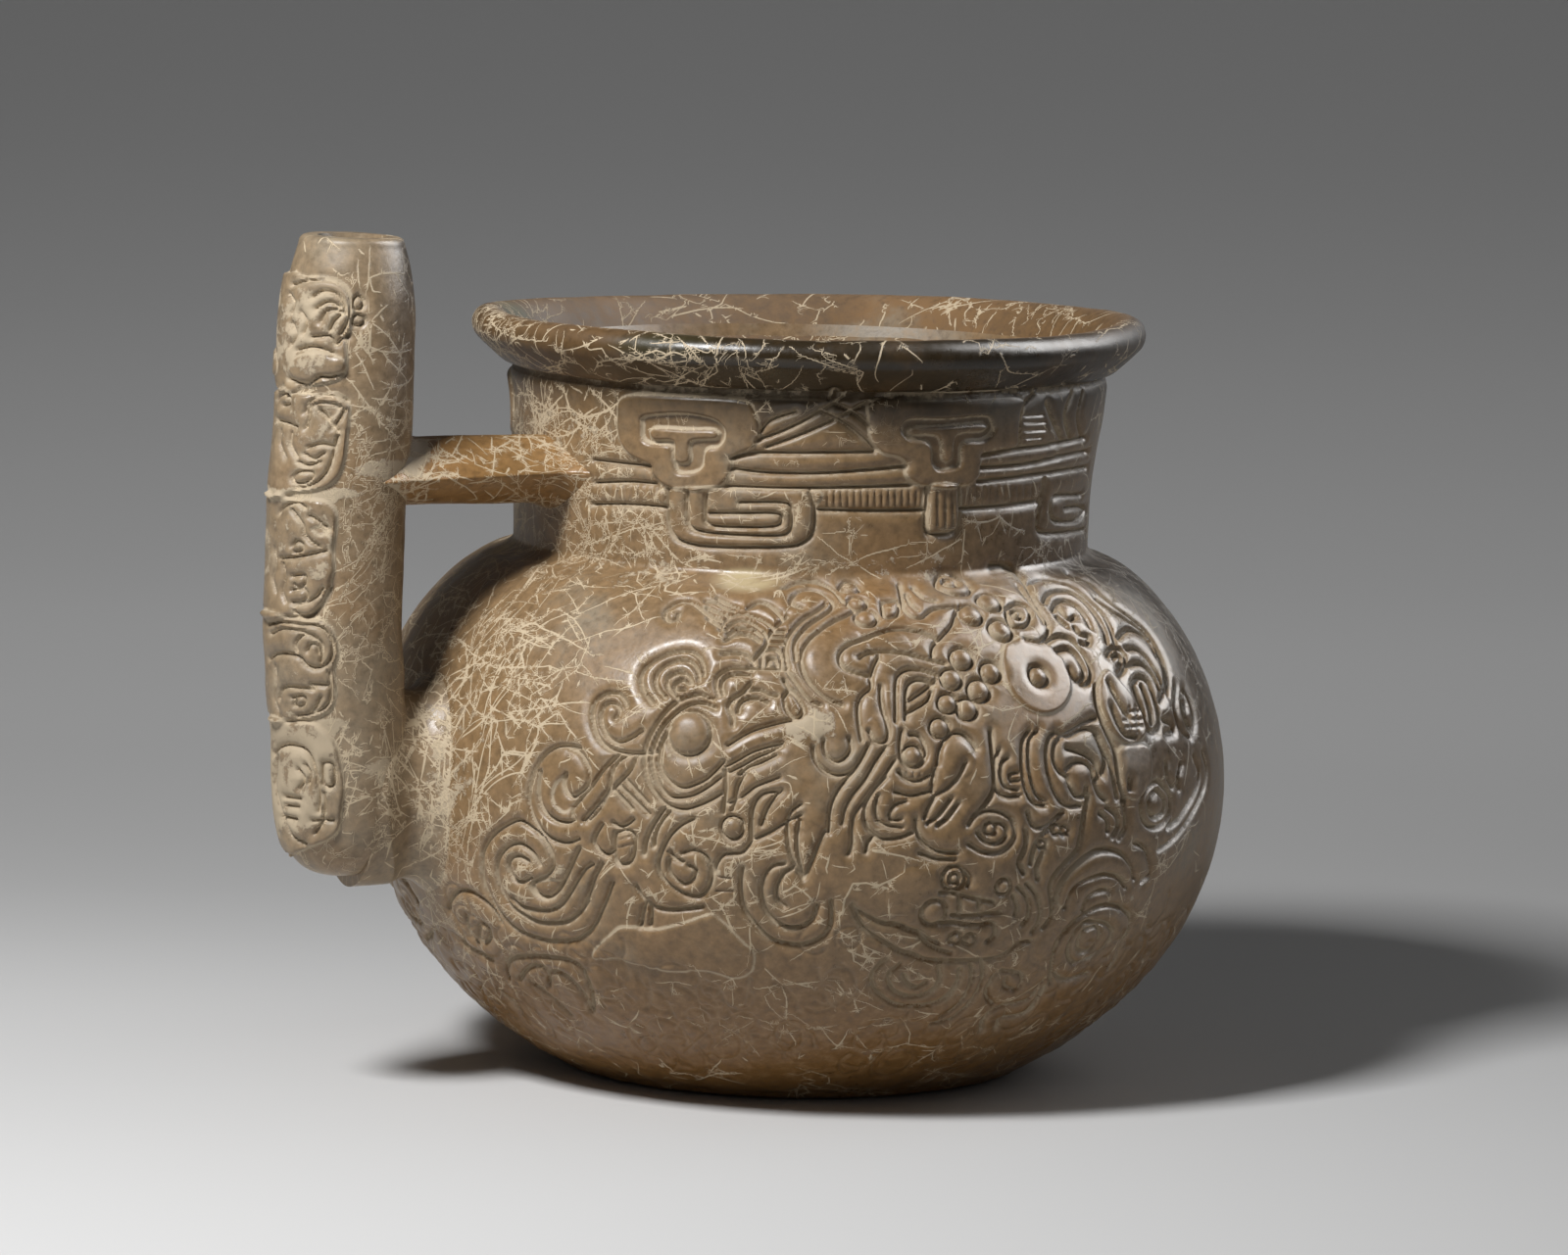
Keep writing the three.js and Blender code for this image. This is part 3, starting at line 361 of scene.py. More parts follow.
# Raised and sunk areas: how far each stands out in millimetres, then its outline
PADS = {
    "plaque_left": (0.55, (640, 405, 700, 405, 757, 409, 770, 422, 774, 440, 768, 456, 748, 466, 744, 482,
        735, 495, 712, 500, 684, 497, 668, 484, 664, 474, 645, 464, 634, 448, 632, 425)),
    "sign_left": (-0.85, (658, 424, 690, 421, 712, 423, 730, 428, 740, 438, 740, 449, 733, 457, 721, 460,
        718, 476, 711, 482, 700, 484, 690, 481, 686, 462, 683, 455, 664, 453, 656, 447, 655, 434)),
    "sign_left_core": (0.8, (667, 438, 700, 439, 729, 440, 731, 447, 705, 450, 703, 470, 690, 470,
        688, 450, 668, 448)),
    "plaque_right": (0.55, (893, 410, 888, 428, 890, 448, 900, 461, 918, 466, 925, 472, 926, 485,
        938, 494, 962, 497, 985, 495, 998, 486, 1001, 470, 1006, 462, 1034, 457, 1039, 440, 1040, 405,
        960, 404)),
    "sign_right": (-0.85, (920, 440, 922, 431, 932, 427, 965, 427, 1005, 424, 1013, 430, 1014, 440,
        1003, 450, 983, 453, 980, 474, 970, 479, 957, 480, 951, 472, 950, 458, 944, 451, 928, 449)),
    "sign_right_core": (0.8, (930, 438, 962, 436, 1003, 433, 1003, 439, 976, 444, 971, 468, 963, 469,
        960, 448, 950, 443, 932, 443)),
    "bracket": (0.4, (681, 500, 681, 522, 684, 542, 697, 553, 730, 558, 800, 558, 822, 552, 830, 540,
        831, 518, 826, 501)), "tab": (0.6, (947, 498, 946, 540, 958, 545, 974, 543, 979, 530, 979, 498)),
    "ear": (0.35, (1025, 660, 1023, 680, 1028, 698, 1038, 714, 1053, 725, 1069, 728, 1083, 721, 1091, 707,
        1091, 691, 1084, 675, 1073, 661, 1058, 652, 1042, 651, 1031, 655)),
    "fin": (0.6, (1129, 685, 1122, 696, 1121, 712, 1126, 730, 1134, 746, 1146, 757, 1158, 758, 1167, 749,
        1166, 735, 1158, 719, 1148, 704, 1138, 693)),
    "plate": (0.45, (1143, 766, 1158, 760, 1171, 764, 1174, 785, 1171, 805, 1160, 815, 1148, 808,
        1143, 790)),
    "slab": (0.4, (627, 952, 636, 947, 650, 948, 665, 950, 682, 947, 697, 943, 712, 938, 727, 934,
        735, 940, 744, 948, 755, 960, 767, 972, 768, 984, 763, 994, 748, 997, 733, 993, 718, 990,
        700, 991, 680, 990, 655, 985, 630, 978, 605, 976)),
    "recess_c": (-0.5, (576, 789, 568, 795, 563, 803, 561, 815, 566, 825, 575, 831, 583, 824, 590, 815,
        583, 814, 576, 809, 573, 799)),
    "recess_e": (-0.5, (541, 903, 546, 914, 556, 919, 566, 913, 573, 901, 563, 898, 552, 899)),
    "recess_u": (-0.35, (926, 730, 926, 705, 930, 696, 942, 694, 955, 698, 950, 712, 940, 722)),
    "hood": (0.35, (1080, 921, 1085, 905, 1094, 892, 1107, 880, 1121, 872, 1134, 871, 1146, 876,
        1154, 888, 1150, 900, 1140, 893, 1127, 891, 1112, 896, 1100, 902, 1091, 912, 1087, 924)),
}
# Round bosses and rings: place, radius in pixels, height in millimetres
BOSSES = {
    "ear_core": (1060, 690, 11, 0.25), "dot_one": (867, 598, 10, 0.3), "dot_two": (875, 613, 10, 0.3),
    "dot_three": (884, 629, 11, 0.3), "eye_high": (973, 597, 18, 0.35),
    "eye_high_core": (969, 595, 7, 0.2), "bead_one": (991, 626, 13, 0.45),
    "bead_two": (1022, 642, 13, 0.45), "bead_three": (1010, 613, 13, 0.4),
    "bead_four": (982, 671, 12, 0.45), "bead_five": (972, 692, 11, 0.45),
    "bead_six": (1000, 704, 12, 0.45), "bead_seven": (1012, 685, 11, 0.4),
    "bead_eight": (960, 742, 10, 0.4), "bead_nine": (988, 723, 11, 0.4), "bead_ten": (968, 717, 10, 0.4),
    "dress_core": (1038, 626, 5, 0.3), "eye_core": (932, 771, 10, 0.5), "ball": (747, 845, 11, 0.5),
    "eye_low": (974, 897, 12, 0.3), "eye_low_core": (974, 897, 5, 0.2),
    "eye_low_two": (1025, 906, 8, 0.3), "eye_dark": (953, 932, 13, 0.3), "seed_one": (975, 958, 6, 0.3),
    "seed_two": (990, 960, 6, 0.3), "round_boss": (703, 748, 22, 0.45), "pearl_one": (1065, 862, 4, 0.25),
    "pearl_two": (1080, 847, 5, 0.3), "pearl_three": (1088, 848, 4, 0.25),
    "chin_core": (1012, 846, 6, 0.2),
}
SPOUT_PADS = {
    "glyph_one": (0.8, (293, 284, 310, 283, 335, 284, 350, 290, 358, 303, 360, 320, 357, 335, 352, 348,
        353, 365, 351, 378, 345, 387, 330, 391, 310, 394, 293, 393)),
    "glyph_two": (0.8, (283, 398, 300, 402, 317, 404, 340, 402, 352, 408, 356, 416, 354, 440, 351, 465,
        346, 482, 336, 494, 318, 501, 300, 502, 280, 502)),
    "glyph_three": (0.8, (283, 512, 300, 510, 325, 511, 336, 515, 342, 524, 342, 540, 339, 560, 340, 580,
        337, 592, 336, 605, 328, 618, 312, 628, 295, 627, 275, 625)),
    "glyph_four": (0.8, (275, 632, 300, 632, 325, 634, 337, 641, 343, 655, 344, 668, 340, 682, 342, 700,
        340, 718, 333, 727, 318, 733, 300, 734, 275, 733)),
    "glyph_five": (0.8, (278, 742, 300, 738, 320, 739, 334, 749, 343, 763, 348, 785, 350, 805, 347, 830,
        345, 845, 336, 855, 322, 861, 305, 868, 292, 866)),
    "fish": (0.35, (300, 375, 305, 367, 312, 363, 327, 361, 338, 363, 348, 367, 353, 373, 348, 380,
        335, 382, 325, 383, 318, 388, 308, 387, 302, 383)),
    "pit_two": (-0.5, (322, 415, 347, 416, 344, 424, 337, 428, 328, 424)),
    "pit_three": (-0.5, (318, 540, 325, 536, 335, 537, 339, 541, 328, 548)),
}
SPOUT_CUTS = {
    "one_top": (300, 291, 313, 287, 335, 286, 346, 289, 353, 296, 357, 306, 357, 320, 353, 333, 348, 341),
    "one_curl": (320, 303, 329, 297, 342, 299, 350, 308, 353, 320),
    "one_curl_two": (323, 315, 330, 310, 338, 308, 347, 313),
    "one_curl_three": (328, 328, 333, 318, 343, 316, 349, 319),
    "one_drop": (337, 337, 342, 327, 348, 322),
    "one_fold": (320, 344, 337, 343, 343, 352, 348, 347, 355, 342),
    "one_fold_two": (305, 357, 318, 354, 330, 356, 340, 360),
    "one_base": (297, 387, 312, 392, 322, 388, 328, 384, 338, 385, 349, 381),
    "one_left": (297, 300, 302, 309, 300, 320), "one_left_two": (300, 330, 304, 342, 299, 352),
    "one_left_three": (308, 318, 314, 328, 311, 340),
    "two_arch": (313, 421, 317, 410, 323, 406, 333, 404, 347, 406, 354, 410),
    "two_inner": (314, 437, 317, 428, 319, 414, 330, 411, 340, 412, 348, 415),
    "two_tooth": (327, 419, 337, 430, 346, 440), "two_tooth_two": (340, 437, 347, 427, 352, 418),
    "two_pad": (315, 457, 328, 453, 342, 455),
    "two_oval": (300, 488, 305, 482, 317, 481, 321, 485, 314, 492, 303, 493, 300, 488),
    "two_side": (345, 445, 341, 462, 336, 478, 328, 489, 316, 496, 303, 498),
    "two_left": (287, 408, 290, 402, 297, 404, 298, 412, 291, 414),
    "two_left_two": (283, 428, 293, 431, 305, 436), "two_left_three": (290, 440, 289, 455, 294, 468),
    "two_left_four": (300, 441, 299, 455, 305, 466), "two_mid": (312, 463, 322, 468, 332, 462),
    "two_mid_two": (306, 471, 316, 475, 328, 471), "three_top": (288, 524, 292, 517, 305, 513, 313, 518),
    "three_slash": (300, 520, 310, 535, 313, 547, 327, 558),
    "three_slash_two": (317, 526, 325, 531, 333, 537),
    "three_low": (288, 570, 300, 569, 313, 567, 333, 562),
    "three_ring": (300, 557, 304, 552, 310, 555, 309, 562, 302, 563),
    "three_box": (300, 588, 312, 587, 313, 595, 305, 600, 302, 596),
    "three_block": (300, 602, 313, 602, 313, 612, 300, 615),
    "three_hook": (337, 600, 333, 608, 327, 618, 318, 628, 310, 628, 302, 624),
    "three_hook_two": (330, 600, 325, 608, 314, 615, 302, 618),
    "three_left": (283, 560, 284, 575, 281, 590, 284, 605),
    "three_left_two": (291, 575, 293, 590, 290, 603, 294, 615),
    "four_top": (278, 636, 290, 635, 306, 637, 322, 638, 332, 643, 339, 654, 340, 664, 337, 674, 328, 681,
        317, 680), "four_inner": (279, 647, 289, 642, 305, 643, 315, 646, 323, 652),
    "four_ring": (305, 664, 303, 657, 308, 650, 317, 647, 327, 654, 330, 663, 328, 675),
    "four_ring_two": (315, 664, 318, 657, 324, 658, 326, 667),
    "four_mid": (278, 673, 283, 668, 294, 667, 307, 670, 313, 677, 322, 682),
    "four_side": (336, 685, 338, 698, 338, 712, 332, 722, 320, 728, 305, 730),
    "four_box": (288, 714, 290, 704, 296, 701, 310, 702, 322, 703),
    "four_box_two": (300, 712, 310, 710, 313, 715, 310, 720, 302, 720, 304, 715),
    "four_line": (318, 698, 334, 699), "four_tail": (328, 711, 323, 722, 315, 729),
    "four_left": (284, 680, 285, 695, 283, 712, 287, 725),
    "five_arc": (284, 770, 288, 763, 298, 760, 310, 763, 317, 770, 322, 783, 325, 797, 327, 812,
        326, 828), "five_oval": (287, 771, 285, 787, 285, 803, 288, 820, 293, 838, 300, 853, 313, 861),
    "five_knot": (330, 778, 331, 800, 340, 802, 343, 792, 339, 779, 330, 778),
    "five_low": (331, 808, 332, 822, 330, 838, 322, 850), "five_bar": (293, 813, 308, 815),
    "five_bar_two": (294, 822, 306, 823), "five_bar_three": (290, 833, 304, 836),
    "five_bar_four": (320, 837, 340, 837), "five_mark": (306, 785, 312, 795, 307, 805),
    "five_mark_two": (313, 780, 318, 790, 316, 800),
    "side_ring": (366, 301, 372, 307, 369, 315, 362, 315, 360, 307, 366, 301),
    "side_ring_two": (366, 321, 374, 326, 368, 333, 360, 331, 359, 324, 366, 321),
}
# Patches of pale earth: place, half width and half height in pixels, strength
EARTH = {
    "joint": (456, 785, 26, 50, 0.72), "joint_low": (440, 840, 30, 40, 0.5),
    "joint_high": (470, 735, 40, 25, 0.5), "neck_foot_left": (640, 585, 90, 20, 0.55),
    "neck_left": (585, 440, 60, 40, 0.45), "brow_patch": (828, 742, 34, 26, 0.95),
    "middle": (725, 850, 60, 60, 0.35), "round_low": (700, 780, 30, 24, 0.4),
    "loop_patch": (560, 905, 50, 40, 0.4), "neck_foot_right": (960, 580, 130, 16, 0.5),
    "shoulder_right": (1150, 640, 60, 60, 0.35), "right_low": (1160, 930, 30, 40, 0.45),
    "head_top": (1020, 590, 60, 20, 0.45), "left_low": (470, 880, 40, 60, 0.4),
}
SPOUT_EARTH = {
    "top_glyph": (318, 340, 40, 60, 0.7), "second": (315, 430, 45, 50, 0.55),
    "third": (310, 560, 45, 60, 0.55), "gap": (320, 505, 60, 10, 0.95),
    "fourth": (310, 680, 40, 50, 0.35), "fifth": (310, 790, 45, 80, 0.95),
    "join": (395, 480, 40, 14, 0.9), "right_low": (400, 790, 50, 20, 0.8),
    "gap_low": (315, 740, 50, 12, 0.95),
}
CORD_RIBS = {
    "middle": (845, 942, 502, 518), "right": (984, 1062, 498, 514), "left": (616, 678, 496, 512),
}
# Plain swellings: place, radius in pixels, height in millimetres
DOMES = {
    "round_boss": (703, 748, 24, 0.5), "plume_boss": (852, 668, 36, 0.5), "snout": (905, 663, 26, 0.3),
    "muzzle": (976, 775, 20, 0.4), "cheek": (900, 745, 16, 0.3), "petal": (812, 870, 20, 0.3),
    "leaf": (620, 800, 18, 0.25), "jaw": (935, 915, 30, 0.35), "chin": (960, 965, 26, 0.25),
}
# Scrolls on the side that the photograph doesn't show: angle from the spout, height and size in
# millimetres, turns
FAR_SCROLLS = ((162, 64, 6, 1.6), (172, 52, 7, -1.8), (159, 44, 6, 1.7), (172, 36, 6, 1.6),
               (160, 28, 5, -1.5), (173, 22, 5, 1.5))
# The rim's dark outer face: dark slip, partly painted shade under the lip. Place, half width and half height
# in pixels, strength
RIM_SLIP_AND_SHADE = {
    "lip": (885, 372, 370, 70, 1.0),
}
# Tinted patches: a pale yellow patch at the foot of the neck and an olive patch on the rim. Place, half width
# and half height in pixels, strength
TINTS = {
    "yellow_patch": (762, 592, 33, 12, 1.0), "green": (690, 352, 60, 14, 0.9),
}
BAR_EARTH = {
    "spout_end": (415, 466, 30, 24, 0.95), "spout_low": (405, 505, 14, 24, 0.8),
    "neck_end": (600, 455, 55, 22, 0.6), "neck_low": (600, 510, 20, 24, 0.35),
}
# Where root marks crowd: place, half width and half height in pixels, strength
ROOT_CROWDS = {
    "left_shoulder": (490, 700, 85, 110, 0.75), "joint": (450, 790, 55, 85, 1.2),
    "neck_foot": (700, 580, 220, 24, 1.3), "neck_left": (585, 470, 75, 100, 0.9),
    "lip_left": (505, 335, 40, 24, 1.5), "spout": (350, 560, 90, 330, 0.5),
    "neck": (800, 480, 330, 90, 0.35), "left_low": (500, 880, 90, 100, 0.7),
    "middle": (760, 800, 200, 150, 0.45), "inside": (960, 316, 240, 14, 0.8),
    "lip": (820, 350, 340, 16, 0.35), "bar": (500, 465, 90, 26, 0.8),
    "right_top": (1100, 600, 120, 60, 0.45), "low": (820, 1020, 300, 70, 0.25),
}
# How far the spout's middle drifts towards the jar: height and drift in millimetres, across X and Y
SPOUT_DRIFT = ((33, 1.3, 0), (41, 1.7, 0), (52, 1.3, 0), (61, 0.1, 0), (70, -0.7, 0), (88, -0.7, 0),
               (101, 0.1, 0), (130, 0.2, 0))


def between(value, low, high):
    """A smooth step from 0 at low to 1 at high."""
    share = np.clip((value - low) / (high - low), 0.0, 1.0)
    return share * share * (3 - 2 * share)


# Sizes and colours that a user would change


def length(name, description, default):
    """A length in metres."""
    return FloatProperty(name=name, description=description, default=default, unit="LENGTH")


def colour(name, description, default):
    """A colour in linear light."""
    return FloatVectorProperty(name=name, description=description, default=default, subtype="COLOR")


class JarBodySizes(bpy.types.PropertyGroup):
    """Sizes of the turned body, neck and rim."""

    foot_radius: length("Foot Radius", "Radius of the flat foot", 0.0322)
    belly_radius: length("Belly Radius", "Radius at the widest place", 0.0648)
    belly_height: length("Belly Height", "Height of the widest place", 0.0441)
    shoulder_height: length("Shoulder Height", "Height where the neck starts", 0.0783)
    neck_radius: length("Neck Radius", "Outer radius of the collar neck", 0.0432)
    neck_top: length("Neck Top", "Height where the rim starts to flare", 0.1048)
    rim_radius: length("Rim Radius", "Outermost radius of the lip", 0.0506)
    rim_top: length("Rim Top", "Height of the lip", 0.1142)
    wall: length("Wall", "Thickness of the clay", 0.005)
    fine_step: length("Fine Step", "Distance between columns on the near side", 0.00023)
    coarse_step: length("Coarse Step", "Distance between columns on the far side", 0.0005)
    row_pitch: length("Row Pitch", "Distance between rows of the carved skin", 0.00023)


class JarSpoutSizes(bpy.types.PropertyGroup):
    """Sizes of the spout, its joint and the bar to the neck."""

    offset: length("Offset", "Distance of the spout from the jar's axis", 0.0774)
    lean_height: length("Lean Height", "Height about which the spout leans", 0.0441)
    lean: FloatProperty(name="Lean", description="Lean of the spout towards the jar",
                        default=math.radians(1.05), subtype="ANGLE")
    radius: length("Radius", "Outer radius of the spout", 0.0097)
    foot: length("Foot", "Height of the spout's closed end", 0.0324)
    foot_round: length("Foot Rounding", "Length of the rounded closed end", 0.0144)
    top: length("Top", "Height of the spout's mouth", 0.1266)
    mouth_length: length("Mouth Length", "Length over which the mouth narrows", 0.0135)
    mouth_radius: length("Mouth Radius", "Outer radius at the mouth", 0.0078)
    bore: length("Bore", "Radius of the bore", 0.0046)
    joint_height: length("Joint Height", "Height of the middle of the joint", 0.0455)
    joint_reach: length("Joint Reach", "Half height of the joint", 0.0136)
    joint_half: length("Joint Half Width", "Half width of the joint", 0.0078)
    bar_height: length("Bar Height", "Height of the side ridges of the bar", 0.0916)
    bar_half: length("Bar Half Width", "Half width of the bar", 0.009)
    bar_rise: length("Bar Rise", "Height of the bar's crest over its ridges", 0.0055)
    columns: IntProperty(name="Columns", description="Steps round the spout", default=240, min=24)


class JarColours(bpy.types.PropertyGroup):
    """Colours and depths of the carved clay."""

    brown: colour("Brown", "Burnished brown slip", (0.205, 0.130, 0.064))
    orange: colour("Orange", "Warm slip on the bar, inside and foot", (0.255, 0.133, 0.045))
    grey: colour("Grey", "Weathered grey brown", (0.230, 0.182, 0.122))
    dark: colour("Dark", "Smoke clouded slip", (0.085, 0.056, 0.03))
    crust: colour("Crust", "Pale earth left in the carving", (0.42, 0.34, 0.235))
    root: colour("Root", "Marks etched by roots", (0.52, 0.42, 0.285))
    cut_depth: length("Cut Depth", "Depth of the main carved lines", 0.00065)
    cut_half: length("Cut Half Width", "Half width of the main carved lines", 0.00052)


class JarStage(bpy.types.PropertyGroup):
    """Floor, lamps and camera."""

    floor_grey: colour("Floor", "Colour of the floor", (0.60, 0.60, 0.60))
    key_power: FloatProperty(name="Key", description="Power of the key lamp", default=3.7, min=0)
    side_power: FloatProperty(name="Side Lamp", description="Power of the soft lamp on the right",
                              default=1.0, min=0)
    world_level: FloatProperty(name="World", description="Strength of the even light", default=0.055, min=0)


# Wall outline


def body_radius(heights, sizes):
    """Outer radius of the body at each height, as two bulging quarters that meet at the belly."""
    low = np.clip((sizes.belly_height - heights) / sizes.belly_height, 0, 1)
    high = np.clip((heights - sizes.belly_height) / (sizes.shoulder_height - sizes.belly_height), 0, 1)
    below = sizes.foot_radius + (sizes.belly_radius - sizes.foot_radius) * (1 - low**2.08) ** (1 / 1.31)
    mouth = sizes.neck_radius + 0.3 * MM
    above = mouth + (sizes.belly_radius - mouth) * (1 - high**2) ** (1 / 1.6)
    return np.where(heights < sizes.belly_height, below, above)


def bend(start, pull, end, steps):
    """Points of a curve from start to end that leans towards pull, without its first point."""
    share = np.linspace(0, 1, steps + 1)[1:, None]
    start, pull, end = (np.array(p, float) for p in (start, pull, end))
    return (1 - share) ** 2 * start + 2 * share * (1 - share) * pull + share**2 * end


def evenly(points, pitch):
    """The same line with its points a pitch apart, as near as the ends allow."""
    points = np.asarray(points, float)
    steps = np.hypot(*np.diff(points, axis=0).T)
    along = np.concatenate([[0], np.cumsum(steps)])
    count = max(2, int(round(along[-1] / pitch)) + 1)
    places = np.linspace(0, along[-1], count)
    return np.stack([np.interp(places, along, points[:, i]) for i in range(2)], -1)


def wall_outline(sizes):
    """The outer wall from the foot to the crest of the lip, as fine points of radius and height."""
    blend_height = sizes.shoulder_height - 1.0 * MM
    heights = sizes.belly_height * (1 - np.cos(np.linspace(0, math.pi / 2, 500)))
    upper = blend_height - sizes.belly_height
    climb = np.sin(np.linspace(0, 1, 700)[1:] * 1.57)
    heights = np.concatenate([heights, sizes.belly_height + upper * climb])
    body = np.stack([body_radius(heights, sizes), heights], -1)
    body = body[body[:, 1] > 1.2 * MM]
    foot = bend((sizes.foot_radius - 1.0 * MM, 0), (body[0, 0] - 0.6 * MM, 0), body[0], 30)
    neck_foot = (sizes.neck_radius + 0.1 * MM, sizes.shoulder_height + 1.3 * MM)
    turn = bend(body[-1], (neck_foot[0] + 0.2 * MM, sizes.shoulder_height), neck_foot, 60)
    rise = np.linspace(0, 1, 60)[1:, None]
    neck_end = np.array((sizes.neck_radius + 1.8 * MM, sizes.neck_top + 0.6 * MM))
    neck = neck_foot + (neck_end - neck_foot) * np.concatenate([rise**2, rise], -1)
    lip = np.array((sizes.rim_radius - 2.6 * MM, sizes.rim_top - 2.6 * MM))
    angles = np.radians(np.linspace(-45, 112, 60))[:, None]
    edge = lip + 2.6 * MM * np.concatenate([np.cos(angles), np.sin(angles)], -1)
    flare = bend(neck_end, (neck_end[0] + 2.2 * MM, neck_end[1] + 1.8 * MM), edge[0], 30)
    return np.concatenate([foot, body, turn, neck, flare, edge[1:]])


def normals_of(line):
    """Outward unit normals of a line of radius and height that climbs."""
    run = np.gradient(line, axis=0)
    run /= np.linalg.norm(run, axis=1)[:, None] + 1e-12
    return np.stack([run[:, 1], -run[:, 0]], -1)


def stretch(outline, low, high, pitch):
    """The part of an outline between two heights, with even points, and its normals."""
    full = evenly(outline, 0.05 * MM)
    climb = full[: int(np.argmax(full[:, 1])) + 1]
    first, last = (int(np.searchsorted(climb[:, 1], height)) for height in (low, high))
    line = evenly(climb[first:last + 1], pitch)
    fine = normals_of(climb)
    rows = [int(np.argmin(np.hypot(*(climb - point).T))) for point in line]
    return line, fine[rows]


def turned(line, angles):
    """Places, or directions, of a line of radius and height turned to angles from the spout."""
    radius, height = line[:, 0], line[:, 1]
    return np.stack([-np.cos(angles)[:, None] * radius, -np.sin(angles)[:, None] * radius,
                     np.broadcast_to(height, (len(angles), len(line)))], -1)


def column_angles(radius, sizes, start):
    """Angles all round, close together on the near side, with the last on top of the first."""
    near = int((NEAR_END - start) * radius / sizes.fine_step)
    far = int((2 * math.pi - (NEAR_END - start)) * radius / sizes.coarse_step)
    return np.concatenate([np.linspace(start, NEAR_END, near, endpoint=False),
                           np.linspace(NEAR_END, start + 2 * math.pi, far + 1)])


def moved(places, matrix):
    """Places carried by a matrix."""
    matrix = np.array(matrix)
    return places @ matrix[:3, :3].T + matrix[:3, 3]


# From the photograph's pixels to the surface


def smooth_path(flat, closed=False, step=3.0):
    """A smooth line of pixels through places given across and down by turns."""
    points = np.reshape(np.array(flat, float), (-1, 2))
    if closed:
        points = np.concatenate([points[-1:], points, points[:2]])
    else:
        points = np.concatenate([2 * points[:1] - points[1:2], points, 2 * points[-1:] - points[-2:-1]])
    line = []
    for a, b, c, d in zip(points, points[1:], points[2:], points[3:]):
        t = np.linspace(0, 1, max(2, int(np.hypot(*(c - b)) / step)), endpoint=False)[:, None]
        line.append(0.5 * (2 * b + (c - a) * t + (2 * a - 5 * b + 4 * c - d) * t**2
                           + (3 * b - a - 3 * c + d) * t**3))
    line.append(points[-2][None])
    return np.concatenate(line)


class Photograph:
    """The camera that took the photograph."""

    def __init__(self):
        azimuth, elevation, roll = PHOTO_AZIMUTH, PHOTO_ELEVATION, PHOTO_ROLL
        self.back = np.array((math.sin(azimuth) * math.cos(elevation),
                              -math.cos(azimuth) * math.cos(elevation), math.sin(elevation)))
        self.right = np.array((math.cos(azimuth), math.sin(azimuth), 0.0))
        self.up = np.cross(self.back, self.right)
        aim = PHOTO_AIM[0] * self.right + np.array((0, 0, PHOTO_AIM[1]))
        self.eye = aim + PHOTO_DISTANCE * self.back
        self.level = (math.cos(roll) * self.right + math.sin(roll) * self.up,
                      math.cos(roll) * self.up - math.sin(roll) * self.right)

    def pixels_of(self, places):
        """The pixels at which places are seen."""
        away = places - self.eye
        scale = PHOTO_FOCAL / -(away @ self.back)
        return np.stack([PHOTO_CENTRE[0] + scale * (away @ self.level[0]),
                         PHOTO_CENTRE[1] - scale * (away @ self.level[1])], -1)

    def on_surface(self, pixels, surface):
        """Places in the surface's own frame where the pixels first meet it."""
        across = (pixels[:, 0] - PHOTO_CENTRE[0]) / PHOTO_FOCAL
        down = (pixels[:, 1] - PHOTO_CENTRE[1]) / PHOTO_FOCAL
        rays = across[:, None] * self.level[0] - down[:, None] * self.level[1] - self.back
        eye, rays = moved(self.eye, surface.home), rays @ surface.home[:3, :3].T
        reach = np.linspace(PHOTO_DISTANCE - 0.11, PHOTO_DISTANCE + 0.04, 700)
        path = eye + reach[None, :, None] * rays[:, None]
        path[..., :2] -= surface.drift_at(path[..., 2])
        room = surface.radius_at(path[..., 2]) - np.hypot(path[..., 0], path[..., 1])
        first = np.argmax(room >= 0, axis=1)
        rows = np.nonzero(first > 0)[0]
        after = first[rows]
        outside, inside = room[rows, after - 1], room[rows, after]
        share = (outside / (outside - inside))[:, None]
        return path[rows, after - 1] * (1 - share) + path[rows, after] * share


